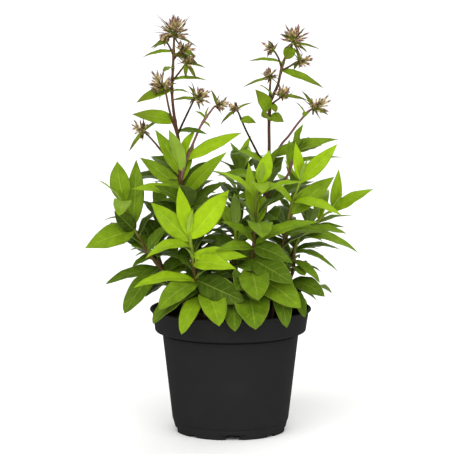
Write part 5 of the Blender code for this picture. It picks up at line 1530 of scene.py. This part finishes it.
@functools.cache
def peat_finish():
    """Moist peat: nearly black where it is wet, with brown crumbs and fibres of a millimetre or two."""
    material, tree, shader, where = new_finish("moist peat compost", 0.95, 0.2)
    crumbs = add(tree, "ShaderNodeTexNoise", where, named={"Scale": 1 / 0.004, "Detail": 4.0})
    colour = add(tree, "ShaderNodeValToRGB", crumbs, stops=(
        (0.3, "1c130c"), (0.5, "332317"), (0.62, "4a3421"), (0.75, "6b5036")))
    fine = add(tree, "ShaderNodeTexNoise", where, named={"Scale": 1 / 0.0009, "Detail": 2.0})
    bump = add(tree, "ShaderNodeBump", named={"Strength": 0.8, "Distance": 0.0006, "Height": fine})
    feed(tree, shader, {"Base Color": colour, "Normal": bump})
    return material


def floor_finish():
    """Matt white studio paper, with a tooth too fine to see as anything but evenness."""
    look = bpy.context.scene.phlox_stage
    material, tree, shader, where = new_finish("matt studio paper", 0.95, 0.1)
    tooth = add(tree, "ShaderNodeTexNoise", where, named={"Scale": 1 / 0.01})
    shade = add(tree, "ShaderNodeMapRange", tooth, 0.0, 1.0, 0.99, 1.01)
    colour = add(tree, VECTOR_MATH, tuple(look.floor), named={"Scale": shade}, operation="SCALE")
    feed(tree, shader, {"Base Color": colour})
    return material


class PhloxPotSettings(PropertyGroup):
    """Sizes and colours of the nursery pot."""

    sides: IntProperty(name="Sides", description="Faces round the pot", default=144, min=24)
    lip: FloatProperty(
        name="Lip", description="Radius of the rim's rounded lip", default=0.0014, unit="LENGTH")
    notch: FloatProperty(name="Notch", description="Width of a drain notch", default=0.014, unit="LENGTH")
    drain: FloatProperty(
        name="Drain hole", description="Radius of a drain hole", default=0.005, unit="LENGTH")
    black: FloatVectorProperty(
        name="Black", description="The polypropylene's colour", subtype="COLOR", default=linear("232323"))
    dust: FloatVectorProperty(
        name="Dust", description="Where the pot is rubbed or dusty", subtype="COLOR",
        default=linear("2b2b2b"))


class PhloxSoilSettings(PropertyGroup):
    """The peat's crumbs."""

    density: FloatProperty(name="Crumbs", description="Crumbs on each square metre", default=110000.0)
    smallest: FloatProperty(
        name="Smallest", description="Radius of the smallest crumb", default=0.0004, unit="LENGTH")
    largest: FloatProperty(
        name="Largest", description="Radius of the largest crumb", default=0.0016, unit="LENGTH")
    seed: IntProperty(name="Seed", description="Where the crumbs fall", default=4)


class PhloxStemSettings(PropertyGroup):
    """How finely the stems are made."""

    sides: IntProperty(name="Sides", description="Faces round a stem", default=12, min=5)
    step: FloatProperty(
        name="Step", description="Length between a stem's rings", default=0.002, unit="LENGTH")


class PhloxLeafSettings(PropertyGroup):
    """Sizes and colours of the leaves."""

    rows: IntProperty(name="Rows", description="Rings along a leaf", default=26, min=6)
    bract_rows: IntProperty(name="Bract rows", description="Rings along a bract", default=12, min=6)
    around: IntProperty(name="Round", description="Points round a leaf, a multiple of four", default=20)
    thickness: FloatProperty(
        name="Thickness", description="Thickness of a blade", default=0.0006, unit="LENGTH")
    petiole: FloatProperty(
        name="Petiole", description="Half width of a leaf's short stalk", default=0.0008, unit="LENGTH")
    fold: FloatProperty(
        name="Fold", description="How far the edges lift, as a share of the half width", default=0.26)
    wave: FloatProperty(
        name="Wave", description="Height of the waves along the edge, as a share of the half width",
        default=0.1)
    quilting: FloatProperty(
        name="Quilting", description="Height of the swellings between the side veins", default=0.00016,
        unit="LENGTH")
    groove: FloatProperty(
        name="Groove", description="Depth of the midrib's groove", default=0.0005, unit="LENGTH")
    veins: FloatProperty(name="Veins", description="Side veins on each half of a leaf", default=6.5)
    youngest: FloatVectorProperty(
        name="Youngest", description="Colour of the youngest leaves", subtype="COLOR",
        default=linear("97b910"))
    fresh: FloatVectorProperty(
        name="Fresh", description="Colour of grown young leaves", subtype="COLOR",
        default=linear("789612"))
    mature: FloatVectorProperty(
        name="Mature", description="Colour of mature leaves", subtype="COLOR", default=linear("4c6612"))
    oldest: FloatVectorProperty(
        name="Oldest", description="Colour of the oldest leaves", subtype="COLOR",
        default=linear("2a3c0a"))
    vein: FloatVectorProperty(
        name="Veins' colour", description="Colour of the midrib and veins", subtype="COLOR",
        default=linear("b7c95a"))
    dry: FloatVectorProperty(
        name="Dry", description="Colour of drying bracts", subtype="COLOR", default=linear("46301e"))
    below: FloatVectorProperty(
        name="Underside", description="Colour that pales the underside", subtype="COLOR",
        default=linear("8da552"))


class PhloxHeadSettings(PropertyGroup):
    """Sizes of the buds in a head."""

    bud_radius: FloatProperty(
        name="Bud radius", description="Radius of a calyx", default=0.00105, unit="LENGTH")
    showing: FloatProperty(
        name="Showing", description="Share of buds whose petals show", default=0.14, min=0.0, max=1.0,
        subtype="FACTOR")


class PhloxStageSettings(PropertyGroup):
    """The camera's place and the studio's light."""

    distance: FloatProperty(
        name="Distance", description="From the camera to the pot's axis", default=3.0, unit="LENGTH")
    frame_width: FloatProperty(
        name="Frame", description="Width of the picture at the pot's axis", default=0.4767, unit="LENGTH")
    aim_height: FloatProperty(
        name="Aim height", description="Height that the camera looks at", default=0.2163, unit="LENGTH")
    aim_across: FloatProperty(
        name="Aim across", description="How far beside the axis it looks", default=-0.0037, unit="LENGTH")
    key: FloatProperty(name="Main light", description="Strength of the main soft light", default=2.15)
    fill: FloatProperty(
        name="Fill light", description="Strength of the soft light from the other side", default=0.8)
    back: FloatProperty(
        name="Back light", description="Strength of the soft light from behind", default=1.5)
    sky: FloatProperty(name="Room light", description="Strength of the light from all round", default=0.36)
    floor: FloatVectorProperty(
        name="Floor", description="Colour of the floor", subtype="COLOR", default=linear("fafaf9"))


def finish_piece(made, node):
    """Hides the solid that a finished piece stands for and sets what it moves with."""
    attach(made, ROOT_BODY)
    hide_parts(node)


# What Blender itself marks on a mesh
MESH_MARKS = ("sharp_face", "sharp_edge", "material_index", "UVMap")


def drop_marks(made, kept):
    """Removes the marks that only the making needed."""
    layers = made.data.attributes
    for label in [layer.name for layer in layers if not layer.is_internal and not layer.is_required]:
        if label not in (*kept, *MESH_MARKS):
            layers.remove(layers[label])


class PHLOX_OT_pot(Operator):
    """Turns the nursery pot, cuts its drain notches and holes, and rounds its lip."""

    bl_idname = "phlox.pot"
    bl_label = "Nursery Pot"

    def execute(self, context):
        settings = context.scene.phlox_pot
        pot = turned_object("nursery_pot", pot_section(settings.lip / MM), settings.sides)
        cutters = []
        ring = FOOT_RADIUS - FOOT_RING / 2
        notch_half = settings.notch / 2 / MM
        for quarter in range(QUARTERS):
            turn = NOTCH_TURN + quarter * 2 * math.pi / QUARTERS
            between = turn + math.pi / QUARTERS
            cutters += [
                slot_cutter(f"notch {quarter}", notch_half, NOTCH_HEIGHT, NOTCH_CORNER, RING_CUT, ring,
                            turn),
                slot_cutter(f"flare {quarter}", notch_half, FLARE_HEIGHT, NOTCH_CORNER, FLARE_DEPTH,
                            ring + FLARE_OUT, turn, FLARE),
                slot_cutter(f"gap {quarter}", GAP_HALF, GAP_HEIGHT, GAP_CORNER, RING_CUT, ring, between),
                drain_cutter(f"drain {quarter}", settings.drain / MM, DRAIN_PLACE, turn,
                             FLOOR_UNDER - CUT_OVER, FLOOR_TOP + CUT_OVER)]
        cut_away(pot, cutters)
        pot.data.shade_smooth()
        pot.data.set_sharp_from_angle(angle=SHARP_FROM)
        pot.data.materials.clear()
        pot.data.materials.append(pot_finish())
        finish_piece(pot, "pot")
        return {"FINISHED"}


class PHLOX_OT_soil(Operator):
    """Fills the pot with peat and strews crumbs over its top."""

    bl_idname = "phlox.soil"
    bl_label = "Soil"

    def execute(self, context):
        settings = context.scene.phlox_soil
        soil = form("peat", soil_mesh("peat"), crumb_tree(), Density=settings.density, Seed=settings.seed,
                    Smallest=settings.smallest, Largest=settings.largest, Peat=peat_finish())
        drop_marks(soil, ())
        finish_piece(soil, "soil")
        return {"FINISHED"}


class PHLOX_OT_stems(Operator):
    """Makes each stem with its side stalks as smooth round tubes."""

    bl_idname = "phlox.stems"
    bl_label = "Stems"

    def execute(self, context):
        settings = context.scene.phlox_stems
        garden, paths = grown_garden()
        for node in dict.fromkeys(stem[0] for stem in STEMS.values()):
            chains = stem_mesh("stems." + node, node, garden, paths, settings)
            stems = form("stems." + node, chains, stem_tree(), Sides=settings.sides, Stem=stem_finish())
            drop_marks(stems, STEM_MARKS)
            finish_piece(stems, node)
        for node, core in garden.cores.items():
            stalk = form("stalk." + node, core_mesh("stalk." + node, core), stem_tree(),
                         Sides=settings.sides, Stem=stem_finish())
            drop_marks(stalk, STEM_MARKS)
            finish_piece(stalk, node)
        return {"FINISHED"}


class PHLOX_OT_leaves(Operator):
    """Opens the leaves of each stem, and the bracts under each head."""

    bl_idname = "phlox.leaves"
    bl_label = "Leaves"

    def execute(self, context):
        settings = context.scene.phlox_leaves
        garden, _ = grown_garden()
        for node, leaves in garden.leaves.items():
            bracts = node in HEADS
            size = BRACT_SIZE if bracts else 1.0
            name = ("bracts." if bracts else "leaves.") + node
            made = form(name, leaf_mesh(node, leaves), leaf_tree(),
                        Rows=settings.bract_rows if bracts else settings.rows, Round=settings.around,
                        Thickness=settings.thickness, Petiole=settings.petiole * size, Fold=settings.fold,
                        Wave=settings.wave, Quilting=0.0 if bracts else settings.quilting,
                        Groove=settings.groove * size, Veins=settings.veins, Leaf=leaf_finish())
            drop_marks(made, LEAF_MARKS)
            finish_piece(made, node)
        return {"FINISHED"}


class PHLOX_OT_heads(Operator):
    """Stands the buds of each head in their rings."""

    bl_idname = "phlox.heads"
    bl_label = "Bud Heads"

    def execute(self, context):
        settings = context.scene.phlox_heads
        garden, _ = grown_garden()
        closed, showing = bud_pattern("closed bud", False), bud_pattern("showing bud", True)
        for node, buds in garden.buds.items():
            made = form("buds." + node, head_mesh(node, buds, settings), head_tree(),
                        **{"Closed Bud": closed, "Showing Bud": showing, "Calyx": calyx_finish(),
                           "Corolla": corolla_finish()})
            drop_marks(made, BUD_MARKS)
            finish_piece(made, node)
        for pattern in (closed, showing):
            bpy.data.objects.remove(pattern)
        return {"FINISHED"}


class PHLOX_OT_stage(Operator):
    """Lays the pale floor, hangs the soft lights and sets the camera where the photograph was taken."""

    bl_idname = "phlox.stage"
    bl_label = "Studio"

    def execute(self, context):
        settings = context.scene.phlox_stage
        shape = bmesh.new()
        bmesh.ops.create_circle(shape, cap_ends=True, segments=64, radius=STUDIO_RADIUS)
        floor = linked("floor", shape)
        floor.data.transform(Matrix.Translation((0, 0, STUDIO_LEVEL)))
        floor.data.materials.append(floor_finish())

        aim = Vector((settings.aim_across, 0, settings.aim_height))
        # Soft lights far off, each wide in the sky: name, where it comes from, how wide, how strong
        for name, spot, wide, strength in (("main light", (-0.28, -1.0, 1.0), 60, settings.key),
                                           ("fill light", (0.6, -1.0, 0.5), 70, settings.fill),
                                           ("back light", (0.35, 1.0, 0.85), 80, settings.back)):
            lamp = bpy.data.lights.new(name, "SUN")
            lamp.angle = math.radians(wide)
            lamp.energy = strength
            hung = new_object(name, lamp)
            hung.rotation_euler = Vector(spot).to_track_quat("Z", "Y").to_euler()

        world = bpy.data.worlds.new("studio")
        world.use_nodes = True
        # The room is white where it is seen, and as a light it is brighter in front of the plant
        room = world.node_tree
        back = room.nodes["Background"]
        way = add(room, "ShaderNodeSeparateXYZ", add(room, "ShaderNodeTexCoord").outputs["Generated"])
        light = add(room, "ShaderNodeMapRange", way.outputs["Y"], -1.0, 1.0, settings.sky * 1.5,
                    settings.sky)
        seen = add(room, "ShaderNodeLightPath").outputs["Is Camera Ray"]
        strength = add(room, "ShaderNodeMapRange", seen, 0.0, 1.0, light, 1.0)
        feed(room, back, {"Color": (1, 1, 1, 1), "Strength": strength})
        context.scene.world = world
        context.scene.view_settings.view_transform = "Standard"

        eye = bpy.data.cameras.new("camera")
        eye.lens = eye.sensor_width * settings.distance / settings.frame_width
        eye.clip_end = 60.0
        camera = new_object("camera", eye)
        back_off = Vector((0, -math.cos(EYE_TILT), math.sin(EYE_TILT))) * settings.distance
        camera.location = aim + back_off
        camera.rotation_euler = (math.pi / 2 - EYE_TILT, 0, 0)
        context.scene.camera = camera
        return {"FINISHED"}


class PHLOX_PT_panel(Panel):
    """The plant's sizes and the steps that build it."""

    bl_idname = "PHLOX_PT_panel"
    bl_label = "Potted Phlox"
    bl_space_type = "VIEW_3D"
    bl_region_type = "UI"
    bl_category = "Phlox"

    def draw(self, context):
        for step, settings, _ in STEPS:
            column = self.layout.column(align=True)
            column.operator(step.bl_idname)
            values = getattr(context.scene, settings)
            for label in values.bl_rna.properties.keys():
                if label not in ("rna_type", "name"):
                    column.prop(values, label)


# Each step with the name of its settings on the scene and their group
STEPS = (
    (PHLOX_OT_pot, "phlox_pot", PhloxPotSettings), (PHLOX_OT_soil, "phlox_soil", PhloxSoilSettings),
    (PHLOX_OT_stems, "phlox_stems", PhloxStemSettings),
    (PHLOX_OT_leaves, "phlox_leaves", PhloxLeafSettings),
    (PHLOX_OT_heads, "phlox_heads", PhloxHeadSettings),
    (PHLOX_OT_stage, "phlox_stage", PhloxStageSettings),
)
CLASSES = (*(group for _, _, group in STEPS), *(step for step, _, _ in STEPS), PHLOX_PT_panel)


def register():
    """Makes the settings, steps and panel known."""
    for one in CLASSES:
        bpy.utils.register_class(one)
    for _, label, group in STEPS:
        setattr(bpy.types.Scene, label, PointerProperty(type=group))


def unregister():
    """Takes them out again."""
    for _, label, _ in STEPS:
        delattr(bpy.types.Scene, label)
    for one in reversed(CLASSES):
        bpy.utils.unregister_class(one)


def main():
    """Builds the plant step by step."""
    register()
    bpy.ops.phlox.stage()
    bpy.ops.phlox.pot()
    bpy.ops.phlox.soil()
    bpy.ops.phlox.stems()
    bpy.ops.phlox.leaves()
    bpy.ops.phlox.heads()
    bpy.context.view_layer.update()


if __name__ == "__main__":
    main()
